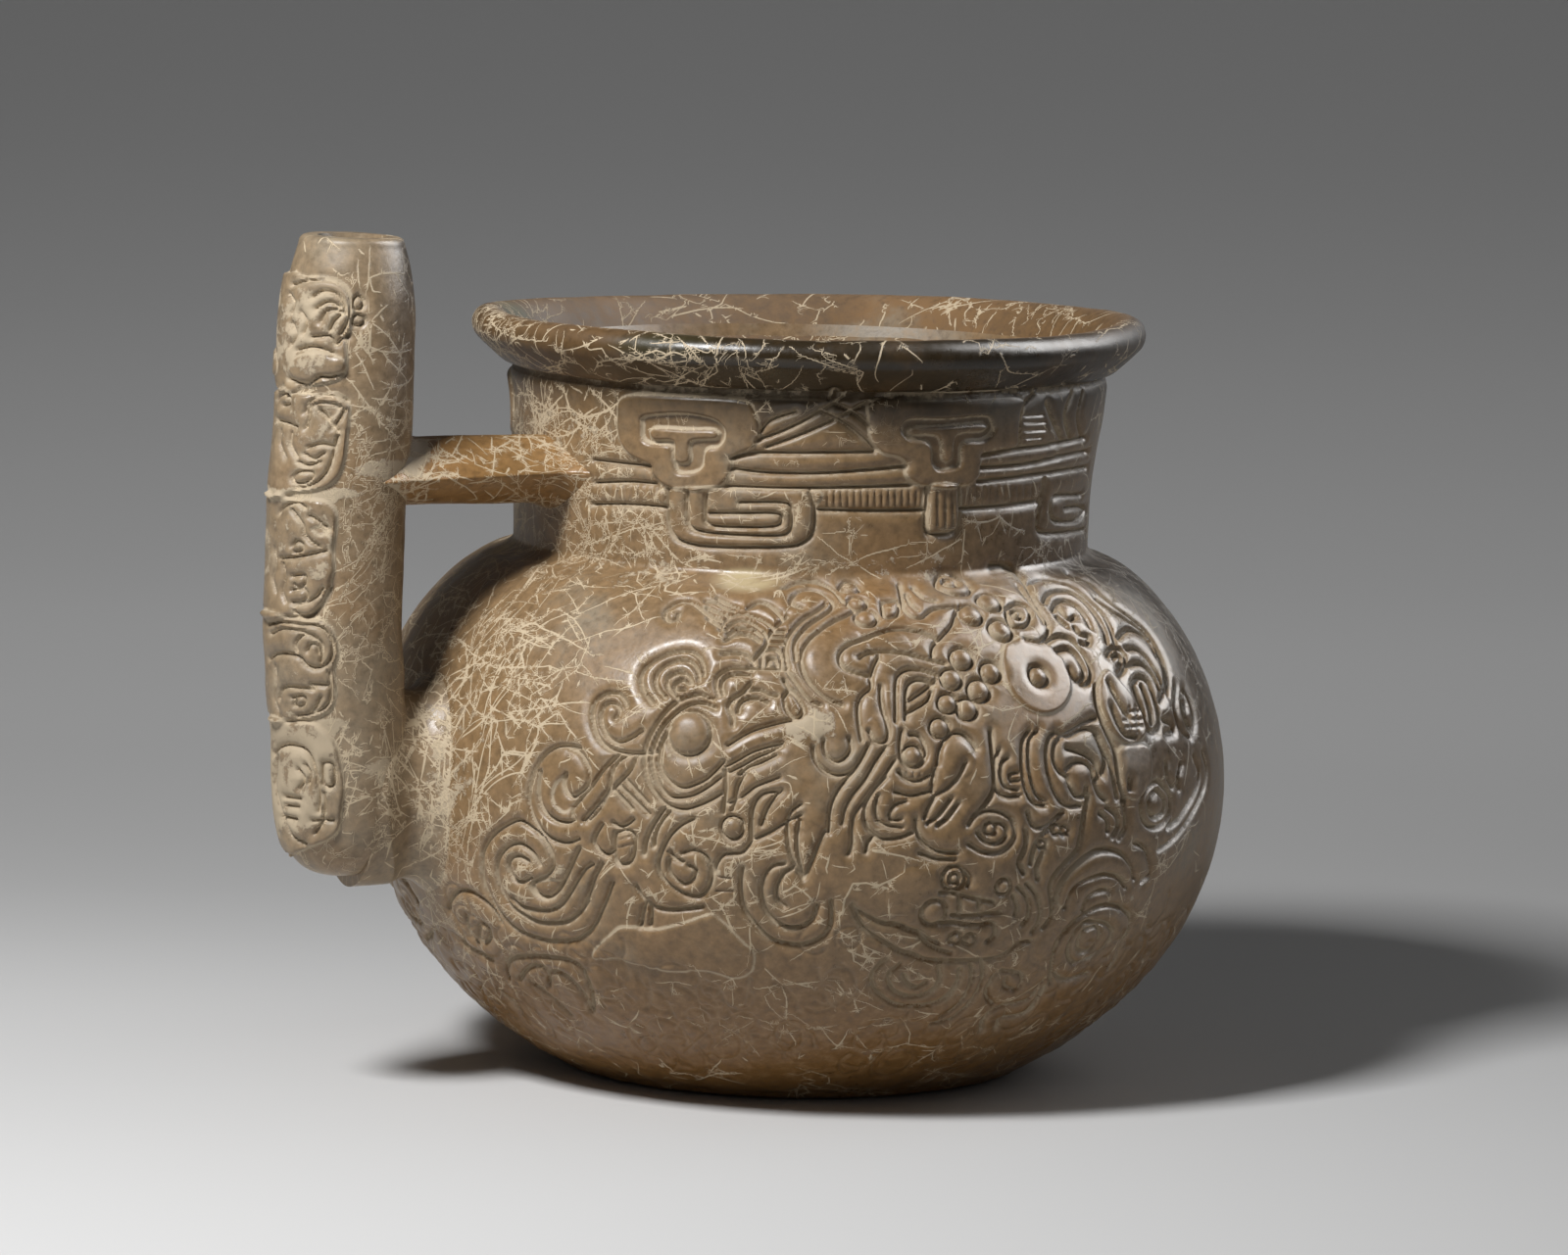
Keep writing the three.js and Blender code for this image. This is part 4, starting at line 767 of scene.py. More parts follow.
class Surface:
    """A turned surface with its carving, in the frame of its own axis."""

    def __init__(self, photo, outline, drift, place=Matrix.Identity(4), fold=0.0):
        self.photo, self.outline, self.fold = photo, outline, fold
        self.drift = np.array(drift) * MM
        self.place, self.home = np.array(place), np.array(place.inverted())
        self.cuts, self.pads, self.bosses, self.zones = Marks(), [], [], {}

    def radius_at(self, heights):
        return np.interp(heights, self.outline[:, 1], self.outline[:, 0], left=-1, right=-1)

    def drift_at(self, heights):
        """How far the middle of a section has drifted off the axis at each height."""
        rows = self.drift
        at = np.clip(np.searchsorted(rows[:, 0], heights) - 1, 0, len(rows) - 2)
        share = between(heights, rows[at, 0], rows[at + 1, 0])[..., None]
        return rows[at, 1:] * (1 - share) + rows[at + 1, 1:] * share

    def inward(self, places):
        """Places of the world in the surface's own frame."""
        local = moved(places, self.home)
        local[..., :2] -= self.drift_at(local[..., 2])
        return local

    def outward(self, local):
        """Places of the surface's own frame in the world."""
        local = np.array(local)
        local[..., :2] += self.drift_at(local[..., 2])
        return moved(local, self.place)

    def cut(self, lines, half_width, depth):
        """Cuts a group of lines."""
        for flat in lines.values():
            self.cuts.add(self.photo.on_surface(smooth_path(flat), self), half_width, depth)

    def cut_round(self, height, half_width, depth):
        """Cuts a level line all round."""
        angles = np.linspace(NEAR_START, math.pi, 900)
        path = turned(np.array([(float(self.radius_at(height)), height)]), angles)[:, 0]
        self.cuts.add(path, half_width, depth)

    def scribble(self, count, low, high, seed, half_width, depth):
        """Cuts small worn arcs by chance between two heights."""
        chance = np.random.default_rng(seed)
        for _ in range(count):
            angle, height = chance.uniform(-0.1, math.pi), chance.uniform(low, high)
            size, turns = chance.uniform(1.6, 4.2) * MM, chance.choice((-1, 1)) * chance.uniform(0.3, 1.1)
            self.scroll(angle, height, size, turns, half_width, depth, chance.uniform(0, 6.28), 0.35)

    def swell(self, pads):
        """Raises or sinks whole areas."""
        for height, flat in pads.values():
            edge = smooth_path(flat, closed=True)
            self.pads.append((height * MM, edge, self.photo.on_surface(edge, self)))

    def stud(self, bosses, half_width, depth):
        """Sets round bosses, each in a ring cut where the depth isn't 0."""
        for across, down, radius, height in bosses.values():
            middle = self.photo.on_surface(np.array([(across, down)], float), self)[0]
            size = radius * PHOTO_DISTANCE / PHOTO_FOCAL
            self.bosses.append((middle, size, height * MM))
            if depth:
                self.cuts.add(self.ring(middle, size), half_width, depth)

    def ring(self, middle, size):
        """A round line on the surface about a place."""
        around = np.array((middle[0], middle[1], 0)) / math.hypot(middle[0], middle[1])
        slope = (self.radius_at(middle[2] + MM) - self.radius_at(middle[2] - MM)) / (2 * MM)
        outward = (around - np.array((0, 0, slope))) / math.hypot(1, slope)
        side = np.cross((0, 0, 1), around)
        climb = np.cross(outward, side)
        turn = np.linspace(0, 2 * math.pi, 24)[:, None]
        return middle + size * (np.cos(turn) * side + np.sin(turn) * climb)

    def scroll(self, angle, height, size, turns, half_width, depth, start=0.0, closing=0.8):
        """Cuts a spiral about a place."""
        turn = np.linspace(0, 2 * math.pi * abs(turns), max(8, int(40 * abs(turns))))
        reach = size * (1 - closing * turn / turn[-1])
        heights = height + reach * np.sin(turn + start)
        radii = self.radius_at(heights)
        angles = angle + math.copysign(1, turns) * reach * np.cos(turn + start) / radii
        self.cuts.add(np.stack([-radii * np.cos(angles), -radii * np.sin(angles), heights], -1),
                      half_width, depth)

    def read(self, places):
        """How far each place of the world stands out, how deep in a cut it lies, and its zones."""
        local = self.inward(places)
        angle = np.arctan2(-local[:, 1], -local[:, 0])
        traced = local.copy()
        traced[angle < self.fold, 1] *= -1
        local[:, 1] = -np.abs(local[:, 1])
        seen = np.cos(np.abs(angle) - NEAR_MIDDLE) > -0.03
        pixels = np.where(seen[:, None], self.photo.pixels_of(self.outward(local)), -9999.0)

        reach = 1.9 * MM
        depth, nearest = np.zeros(len(local)), np.full(len(local), reach)
        which, distance, segment = near_pairs(traced, self.cuts, reach)
        if len(which):
            _, _, widths, depths = self.cuts.packed()
            np.maximum.at(depth, which, depths[segment] * (1 - between(distance / widths[segment], 0.1, 1.0)))
            plain = depths[segment] < 0.3 * MM
            np.minimum.at(nearest, which, np.where(plain, 0.5 * reach + 0.5 * distance, distance))
        beside = 0.5 * (1 - between(nearest, 0.3 * MM, 1.3 * MM))
        groove = np.maximum(np.minimum(depth / (0.6 * MM), 1), beside)
        lift = -PILLOW * (1 - nearest / reach) ** 2 - depth

        for height, edge, path in self.pads:
            close = ((pixels > edge.min(0) - 8) & (pixels < edge.max(0) + 8)).all(1).nonzero()[0]
            if len(close) and len(path) > 2:
                away = distance_to(local[close], path)
                away = np.where(inside_of(pixels[close], edge), away, -away)
                lift[close] += height * between(away, -0.3 * MM, 0.3 * MM)
                foot = -away if height > 0 else away
                groove[close] = np.maximum(groove[close], 0.75 * between(foot, -0.25 * MM, 0.1 * MM)
                                           * (1 - between(foot, 0.25 * MM, 0.75 * MM)))
        for middle, radius, height in self.bosses:
            away = np.linalg.norm(local - middle, axis=1) / radius
            lift += height * np.sqrt(np.clip(1 - away**2, 0, 1))
        zones = {}
        for name, patches in self.zones.items():
            value = np.zeros(len(local))
            for across, down, half_width, half_height, strength in patches.values():
                away = np.hypot((pixels[:, 0] - across) / half_width, (pixels[:, 1] - down) / half_height)
                value = np.maximum(value, strength * (1 - between(away, 0.45, 1.35)))
            zones[name] = value
        return lift, groove, zones


def inside_of(pixels, edge):
    """Whether each pixel lies inside a closed line."""
    inside = np.zeros(len(pixels), bool)
    for (x1, y1), (x2, y2) in zip(edge, np.roll(edge, -1, axis=0)):
        if y1 != y2:
            crosses = (y1 > pixels[:, 1]) != (y2 > pixels[:, 1])
            inside ^= crosses & (pixels[:, 0] < (x2 - x1) * (pixels[:, 1] - y1) / (y2 - y1) + x1)
    return inside


def distance_to(places, path):
    """Distance from each place to a closed line."""
    nearest = np.full(len(places), 1.0)
    for start, end in zip(path, np.roll(path, -1, axis=0)):
        along = end - start
        share = np.clip(((places - start) @ along) / (along @ along + 1e-15), 0, 1)
        nearest = np.minimum(nearest, np.linalg.norm(places - start - share[:, None] * along, axis=1))
    return nearest


# Lines on a surface, as short segments


class Marks:
    """Segments, each with a half width and a depth."""

    def __init__(self):
        self.starts, self.ends, self.widths, self.depths = [], [], [], []

    def add(self, path, half_width, depth=0.0):
        """Adds a line of places."""
        path = np.asarray(path, float)
        if len(path) < 2:
            return
        good = np.linalg.norm(np.diff(path, axis=0), axis=1) < 6 * MM
        self.starts.append(path[:-1][good])
        self.ends.append(path[1:][good])
        self.widths.append((np.zeros(len(path) - 1) + half_width)[good])
        self.depths.append(np.full(good.sum(), depth))

    def packed(self):
        """All segments as arrays."""
        if not self.starts:
            return np.zeros((0, 3)), np.zeros((0, 3)), np.zeros(0), np.zeros(0)
        return tuple(np.concatenate(x) for x in (self.starts, self.ends, self.widths, self.depths))


def near_pairs(points, marks, reach):
    """For each point close to a segment: its number, its distance and the segment's number."""
    starts, ends, _, _ = marks.packed()
    low, high = points.min(0) - reach - 3 * MM, points.max(0) + reach + 3 * MM
    chosen = ((starts > low) & (starts < high)).all(1).nonzero()[0]
    tree = kdtree.KDTree(len(points))
    for i, point in enumerate(points.tolist()):
        tree.insert(point, i)
    tree.balance()
    which, segment = [], []
    middles, halves = (starts + ends) / 2, np.linalg.norm(ends - starts, axis=1) / 2
    for i in chosen.tolist():
        found = [hit[1] for hit in tree.find_range(middles[i].tolist(), halves[i] + reach)]
        which.extend(found)
        segment.extend([i] * len(found))
    which, segment = np.array(which, int), np.array(segment, int)
    if not len(which):
        return which, np.zeros(0), segment
    along = (ends - starts)[segment]
    away = points[which] - starts[segment]
    share = np.clip((away * along).sum(1) / ((along**2).sum(1) + 1e-15), 0, 1)
    return which, np.linalg.norm(away - share[:, None] * along, axis=1), segment


def root_fields(points, normals, roots):
    """In millimetres: distance to the nearest root mark, the same with a side, and its half width."""
    away, side, half = np.full(len(points), 1.0), np.full(len(points), 1.0), np.full(len(points), 0.1)
    which, distance, segment = near_pairs(points, roots, 0.7 * MM)
    if len(which):
        starts, ends, widths, _ = roots.packed()
        order = np.argsort(-distance)
        which, distance, segment = which[order], distance[order], segment[order]
        best = np.full(len(points), -1)
        best[which] = segment
        away[which] = np.minimum(distance / MM, 1.0)
        near = (best >= 0).nonzero()[0]
        start, along = starts[best[near]], (ends - starts)[best[near]]
        turn = (np.cross(along, points[near] - start) * normals[near]).sum(1)
        side[near] = away[near] * np.sign(turn)
        half[near] = widths[best[near]] / MM
    return {"root": away, "side": side, "half": half}


def unevenness(points, size, seed):
    """A gentle random field between about -1 and 1, with waves of about that size."""
    chance = np.random.default_rng(seed)
    total = np.zeros(len(points))
    for _ in range(14):
        way = chance.normal(size=3)
        way *= 2 * math.pi / (size * chance.uniform(0.7, 1.8) * np.linalg.norm(way))
        total += np.sin(points @ way + chance.uniform(0, 6.28))
    return total / 5


def grid_normals(points):
    """Normals of a grid of places, for columns that run round it anticlockwise."""
    across, up = np.gradient(points, axis=0), np.gradient(points, axis=1)
    normals = np.cross(across, up)
    return normals / (np.linalg.norm(normals, axis=-1)[..., None] + 1e-15)


def wander(roots, points, count, seed, photo, step=0.5 * MM):
    """Adds root marks, thin long ones with spurs and short blunt ones, over a grid of places."""
    chance = np.random.default_rng(seed)
    flat, normals = points.reshape(-1, 3), grid_normals(points).reshape(-1, 3)
    tree = kdtree.KDTree(len(flat))
    for i, point in enumerate(flat.tolist()):
        tree.insert(point, i)
    tree.balance()
    area = np.linalg.norm(np.cross(np.gradient(points, axis=0), np.gradient(points, axis=1)), axis=-1).ravel()
    pixels = photo.pixels_of(flat)
    crowd = np.full(len(flat), 0.16)
    facing = ((photo.eye - flat) * normals).sum(1) > 0
    for across, down, half_width, half_height, strength in ROOT_CROWDS.values():
        away = np.hypot((pixels[:, 0] - across) / half_width, (pixels[:, 1] - down) / half_height)
        crowd = np.maximum(crowd, np.where(facing, strength * (1 - between(away, 0.6, 1.3)), 0))
    weights = area * crowd
    waiting = []
    for i in chance.choice(len(flat), size=count, p=weights / weights.sum()):
        kind = chance.uniform()
        steps = int(chance.integers(14, 46) if kind < 0.2 else chance.integers(4, 12) if kind < 0.75
                    else chance.integers(2, 4))
        widths = (0.09, 0.16) if kind < 0.2 else (0.08, 0.17) if kind < 0.75 else (0.14, 0.25)
        half = chance.uniform(*widths)
        waiting.append((flat[i], chance.normal(size=3), steps, half * MM))
    while waiting:
        spot, way, steps, half = waiting.pop()
        path, turn = [], chance.normal(0, 0.02)
        for _ in range(steps):
            _, nearest, _ = tree.find(spot)
            normal = normals[nearest]
            spot = spot - normal * float((spot - flat[nearest]) @ normal)
            way = way - normal * float(way @ normal)
            way = way / (np.linalg.norm(way) + 1e-12)
            path.append(spot)
            kink = chance.normal(0, 0.8) if chance.uniform() < 0.07 else 0.0
            angle = float(np.clip(turn + chance.normal(0, 0.05) + kink, -1.2, 1.2))
            across = np.cross(normal, way)
            way = math.cos(angle) * way + math.sin(angle) * across
            if steps > 4 and chance.uniform() < 0.13:
                lean = chance.choice((-1, 1)) * chance.uniform(0.5, 1.4)
                length = int(chance.integers(2, 4)) if chance.uniform() < 0.75 else steps // 2 + 1
                waiting.append((spot, math.cos(lean) * way + math.sin(lean) * across, length, half * 0.85))
            spot = spot + step * way
        taper = 0.35 + 0.65 * np.sin(np.linspace(0.2, 0.95, max(1, len(path) - 1)) * math.pi)
        roots.add(path, half * taper)


# Meshes


def grid_object(name, points):
    """A skin from rows and columns of places that meet at their ends."""
    columns, rows = points.shape[0] - 1, points.shape[1] - 1
    bpy.ops.object.select_all(action="DESELECT")
    bpy.ops.mesh.primitive_grid_add(x_subdivisions=columns, y_subdivisions=rows, size=1)
    piece = bpy.context.object
    piece.name = piece.data.name = name
    flat = np.empty(len(piece.data.vertices) * 3, np.float32)
    piece.data.vertices.foreach_get("co", flat)
    flat = flat.reshape(-1, 3)
    column = np.rint((flat[:, 0] + 0.5) * columns).astype(int)
    row = np.rint((flat[:, 1] + 0.5) * rows).astype(int)
    piece.data.vertices.foreach_set("co", points[column, row].astype(np.float32).ravel())
    return piece, column, row


def close_skin(piece, angle=60):
    """Merges the ends of a skin, points its faces outwards and smooths it."""
    bpy.ops.object.select_all(action="DESELECT")
    piece.select_set(True)
    bpy.context.view_layer.objects.active = piece
    bpy.ops.object.mode_set(mode="EDIT")
    bpy.ops.mesh.select_all(action="SELECT")
    bpy.ops.mesh.remove_doubles(threshold=1e-6)
    bpy.ops.mesh.normals_make_consistent(inside=False)
    bpy.ops.object.mode_set(mode="OBJECT")
    bpy.ops.object.shade_smooth_by_angle(angle=math.radians(angle))


def clay_piece(name, points, fields, clay, nodes):
    """A closed piece of clay from a grid of places, with the fields that its clay reads."""
    points[-1] = points[0]
    piece, column, row = grid_object(name, points)
    rest = {"groove": 0.0, "crust": 0.0, "tint": 0.0, "dark": 0.0, "root": 1.0, "side": 1.0, "half": 0.1}
    for field, value in rest.items():
        full = np.full(points.shape[:2], value)
        if field in fields:
            rows = fields[field].reshape(points.shape[0], -1)
            full[:, :rows.shape[1]] = rows
            full[-1] = full[0]
        made = piece.data.attributes.new(field, "FLOAT", "POINT")
        made.data.foreach_set("value", full[column, row].astype(np.float32))
    close_skin(piece)
    piece.data.materials.clear()
    piece.data.materials.append(clay)
    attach(piece, "root")
    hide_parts(*nodes)
    return piece


def turned_piece(name, surface, line, normals, inner, angles, roots, clay, nodes, closed=True,
                 dark=None):
    """A turned piece whose outer line is carved and whose inner line is plain."""
    loop = np.concatenate([line, inner, line[:1]] if closed else [line, inner])
    points, ways = surface.outward(turned(loop, angles)), turned(normals, angles) @ surface.place[:3, :3].T
    outer = points[:, :len(line)].reshape(-1, 3)
    lift, groove, zones = surface.read(outer)
    fields = {"groove": groove, **zones}
    if dark is not None:
        fields["dark"] = zones["dark"] * np.tile(dark, len(angles))
    worn = 1 - between(outer[:, 2], 16 * MM, 34 * MM)
    sway = 0.13 * MM * unevenness(outer, 38 * MM, 3) + 0.04 * MM * unevenness(outer, 7 * MM, 5)
    sway += worn * MM * (0.09 * unevenness(outer, 4.5 * MM, 31) + 0.05 * unevenness(outer, 2.2 * MM, 37))
    points[:, :len(line)] += ways * (lift + sway).reshape(len(angles), -1)[..., None]
    if closed:
        points[:, -1] = points[:, 0]
    else:
        points[:, 0], points[:, -1] = points[:, 0].mean(0), points[:, -1].mean(0)
    rows = points if not closed else points[:, :len(line)]
    facing = ways.reshape(-1, 3) if closed else grid_normals(points).reshape(-1, 3)
    fields.update(root_fields(rows.reshape(-1, 3), facing, roots))
    return clay_piece(name, points, fields, clay, nodes)


# Clay


class Wire:
    """An output of a node, with sums written as plain sums."""

    def __init__(self, clay, socket):
        self.clay, self.socket = clay, socket

    def sum_with(self, operation, other, first=True):
        pair = (self, other) if first else (other, self)
        return self.clay.node("ShaderNodeMath", {"operation": operation}, {0: pair[0], 1: pair[1]})

    def __add__(self, other):
        return self.sum_with("ADD", other)

    def __radd__(self, other):
        return self.sum_with("ADD", other)

    def __sub__(self, other):
        return self.sum_with("SUBTRACT", other)

    def __rsub__(self, other):
        return self.sum_with("SUBTRACT", other, False)

    def __mul__(self, other):
        return self.sum_with("MULTIPLY", other)

    def __rmul__(self, other):
        return self.sum_with("MULTIPLY", other)

    def __truediv__(self, other):
        return self.sum_with("DIVIDE", other)

    def __abs__(self):
        return self.clay.node("ShaderNodeMath", {"operation": "ABSOLUTE"}, {0: self})

    def larger(self, other):
        return self.sum_with("MAXIMUM", other)

    def smaller(self, other):
        return self.sum_with("MINIMUM", other)

    def ramp(self, low, high, start=0.0, end=1.0):
        """Goes smoothly from start to end as the value goes from low to high."""
        return self.clay.node("ShaderNodeMapRange", {"interpolation_type": "SMOOTHSTEP"},
                              {"Value": self, "From Min": low, "From Max": high, "To Min": start,
                               "To Max": end})


class Clay:
    """A material under construction."""

    def __init__(self, name):
        self.material = bpy.data.materials.new(name)
        self.material.use_nodes = True
        self.tree = self.material.node_tree
        self.tree.nodes.clear()

    def node(self, kind, settings=None, values=None, output=0):
        """Adds a node with its settings, then the values or links of its sockets."""
        made = self.tree.nodes.new(kind)
        for key, value in (settings or {}).items():
            setattr(made, key, value)
        for key, value in (values or {}).items():
            if isinstance(value, Wire):
                self.tree.links.new(value.socket, made.inputs[key])
            else:
                made.inputs[key].default_value = value
        return Wire(self, made.outputs[output]) if len(made.outputs) else None

    def field(self, name):
        return self.node("ShaderNodeAttribute", {"attribute_name": name}, output="Fac")

    def noise(self, place, scale, detail=3.0, rough=0.55, warp=0.0):
        return self.node("ShaderNodeTexNoise", {"noise_dimensions": "3D"},
                         {"Vector": place, "Scale": scale, "Detail": detail, "Roughness": rough,
                          "Distortion": warp})

    def mix(self, share, first, second):
        return self.node("ShaderNodeMix", {"data_type": "RGBA"}, {0: share, 6: first, 7: second}, output=2)

    def vector(self, operation, first, second, output="Vector"):
        return self.node("ShaderNodeVectorMath", {"operation": operation}, {0: first, 1: second}, output)


def rgba(colour, level=1.0):
    """A colour with its alpha."""
    return (*(level * part for part in colour), 1.0)


def carved_clay(name, colours, base=None, warmth=0.35, greyness=0.35, smoke=0.25, tint=(0.45, 0.36, 0.21),
                shine=0.0, inside_matt=0.0):
    """Burnished clay with pale earth in its cuts and thread-like root marks."""
    clay = Clay(name)
    base = base or tuple(colours.brown)
    place = clay.node("ShaderNodeTexCoord", output="Object")
    height = clay.node("ShaderNodeSeparateXYZ", None, {0: place}, output="Z")
    broad, cloud = clay.noise(place, 26, 4), clay.noise(place, 60, 5, 0.6)
    grain, speck = clay.noise(place, 700, 6, 0.65), clay.noise(place, 2200, 3)
    ragged, patchy = clay.noise(place, 900, 4, 0.7), clay.noise(place, 150, 4, 0.65)
    flake = clay.noise(place, 330, 7, 0.75)
    colour = clay.mix(broad.ramp(0.62 - 0.3 * warmth, 0.92 - 0.3 * warmth), rgba(base), rgba(colours.orange))
    colour = clay.mix(cloud.ramp(0.66 - 0.4 * greyness, 0.86 - 0.3 * greyness), colour, rgba(colours.grey))
    foot = (height + broad * 0.016).ramp(0.014, 0.040, 1.0, 0.0)
    colour = clay.mix(foot * 0.85, colour, (0.185, 0.086, 0.018, 1.0))
    darkness = clay.noise(place, 34, 4, 0.6, 0.6).ramp(0.72 - 0.4 * smoke, 0.95 - 0.3 * smoke)
    colour = clay.mix(darkness * 0.75, colour, rgba(colours.dark))
    colour = clay.mix(grain.ramp(0.45, 0.70) * 0.45, colour, rgba(base, 1.6))
    colour = clay.mix(grain.ramp(0.50, 0.30) * 0.5, colour, rgba(base, 0.5))
    colour = clay.mix(clay.field("tint") * patchy.ramp(0.25, 0.5), colour, rgba(tint))
    # The rim's outer face is darkened towards near black: dark slip, partly painted shade under the lip
    lip_slip_and_shade = clay.field("dark") * patchy.ramp(0.30, 0.55, 0.7, 0.97)
    colour = clay.mix(lip_slip_and_shade, colour, (0.020, 0.013, 0.005, 1.0))

    side, half, away = clay.field("side"), clay.field("half"), clay.field("root")
    ragged_side = abs(side) + (ragged - 0.5) * 0.16
    threads = (ragged_side / half).ramp(0.8, 1.2, 1.0, 0.0) * away.ramp(0.30, 0.42, 1.0, 0.0)
    threads = threads * patchy.ramp(0.28, 0.38)
    halo = away.ramp(0.05, 0.5, 1.0, 0.0) * ragged.ramp(0.55, 0.68) * 0.5

    groove, crust = clay.field("groove"), clay.field("crust")
    fill = (groove + (ragged - 0.5) * 0.7 + (patchy - 0.5) * 0.9).ramp(0.46, 0.66) * 0.85
    dust = groove.ramp(0.05, 0.6) * (flake * 0.5 + patchy * 0.5).ramp(0.36, 0.62) * 0.5
    cover = (crust + (flake - 0.5) * 2.4 + (patchy - 0.5) * 1.2).ramp(0.62, 0.80) * 0.95
    earth = fill.larger(cover).larger(halo).larger(dust)
    colour = clay.mix(earth.smaller(0.93), colour, rgba(colours.crust))
    colour = clay.mix(threads * 0.9, colour, rgba(colours.root))

    rough = cloud.ramp(0.3, 0.7, 0.30 - shine, 0.46 - shine) + (grain - 0.5) * 0.3
    rough = rough + earth * 0.40 + threads * 0.25 + (1 - clay.field("dark")) * inside_matt
    relief = grain * 0.45 + speck * 0.12 + threads * 0.3 + earth * flake * 1.6 + flake * 0.25
    bump = clay.node("ShaderNodeBump", None, {"Strength": 0.5, "Distance": 0.0002, "Height": relief})
    shader = clay.node("ShaderNodeBsdfPrincipled", None,
                       {"Base Color": colour, "Roughness": rough.smaller(0.95), "Normal": bump,
                        "Specular IOR Level": 0.5})
    clay.node("ShaderNodeOutputMaterial", None, {"Surface": shader})
    return clay.material


def clay_named(name, **settings):
    """The clay of that name, made once."""
    found = bpy.data.materials.get(name)
    return found or carved_clay(name, bpy.context.scene.jar_colours, **settings)


# The whole jar's shapes, which the pieces share


def carved_wall(photo, context):
    """The wall of the jar with all its carving."""
    colours = context.scene.jar_colours
    half, depth = colours.cut_half, colours.cut_depth
    lean = 0.75 * photo.right[:2]
    drift = ((88, 0, 0), (101, *lean), (110, *(0.75 * lean)))
    wall = Surface(photo, wall_outline(context.scene.jar_body), drift)
    wall.cut(NECK_CUTS, 0.85 * half, depth)
    for lines in (SCROLLS_LEFT, SCROLLS_LOW, PLUMES, HEAD, SIDE, JAW):
        wall.cut(lines, half, depth)
    wall.cut(DEEP, 1.1 * half, 1.4 * depth)
    wall.cut(WORN, half, 0.28 * depth)
    for lines in (FINE, NECK_FINE):
        wall.cut(lines, 0.6 * half, 0.4 * depth)
    wall.scribble(150, 7 * MM, 29 * MM, 41, half, 0.22 * depth)
    for left, right, top, low in CORD_RIBS.values():
        ribs = {x: (x, top, x, low) for x in range(left, right, 7)}
        wall.cut(ribs, 0.55 * half, 0.4 * depth)
    wall.cut_round(context.scene.jar_body.neck_top + 0.6 * MM, 0.8 * half, 0.5 * depth)
    wall.swell(PADS)
    wall.stud(BOSSES, 0.85 * half, 0.9 * depth)
    wall.stud(DOMES, half, 0)
    for angle, height, size, turns in FAR_SCROLLS:
        wall.scroll(math.radians(angle), height * MM, size * MM, turns, half, depth)
        wall.scroll(math.radians(angle), height * MM, (size - 1.4) * MM, turns, half, depth)
    wall.zones = {"crust": EARTH, "tint": TINTS, "dark": RIM_SLIP_AND_SHADE}
    return wall


def carved_spout(photo, context):
    """The spout's surface with its column of carved blocks."""
    sizes, colours = context.scene.jar_spout, context.scene.jar_colours
    half, depth = colours.cut_half, colours.cut_depth
    place = (Matrix.Translation((-sizes.offset, 0, sizes.lean_height)) @ Matrix.Rotation(sizes.lean, 4, "Y")
             @ Matrix.Translation((0, 0, -sizes.lean_height)))
    round_heights = sizes.foot + sizes.foot_round * (1 - np.cos(np.linspace(0, math.pi / 2, 60)))
    drop = np.clip((sizes.foot + sizes.foot_round - round_heights) / sizes.foot_round, 0, 1)
    foot = np.stack([sizes.radius * (1 - drop**2.6) ** (1 / 2.6), round_heights], -1)
    mouth_start, lip_height = sizes.top - sizes.mouth_length, sizes.top - 1.2 * MM
    rise = np.linspace(0, 1, 40)[1:]
    mouth = np.stack([sizes.radius - (sizes.radius - sizes.mouth_radius) * rise**2,
                      mouth_start + (lip_height - mouth_start) * rise], -1)
    lip = bend(mouth[-1], (mouth[-1, 0] - 0.1 * MM, sizes.top), (mouth[-1, 0] - 1.3 * MM, sizes.top), 10)
    outline = np.concatenate([foot, [(sizes.radius, mouth_start)], mouth, lip])
    spout = Surface(photo, outline, SPOUT_DRIFT, place, NEAR_START)
    spout.swell(SPOUT_PADS)
    spout.cut(SPOUT_CUTS, 0.75 * half, 0.75 * depth)
    spout.zones = {"crust": SPOUT_EARTH}
    return spout


def capped(rows):
    """Rings of places as a grid whose two ends close to a point."""
    ends = [np.repeat([row.mean(0)], len(row), 0) for row in (rows[0], rows[-1])]
    return np.array([ends[0], *rows, ends[1]]).transpose(1, 0, 2)


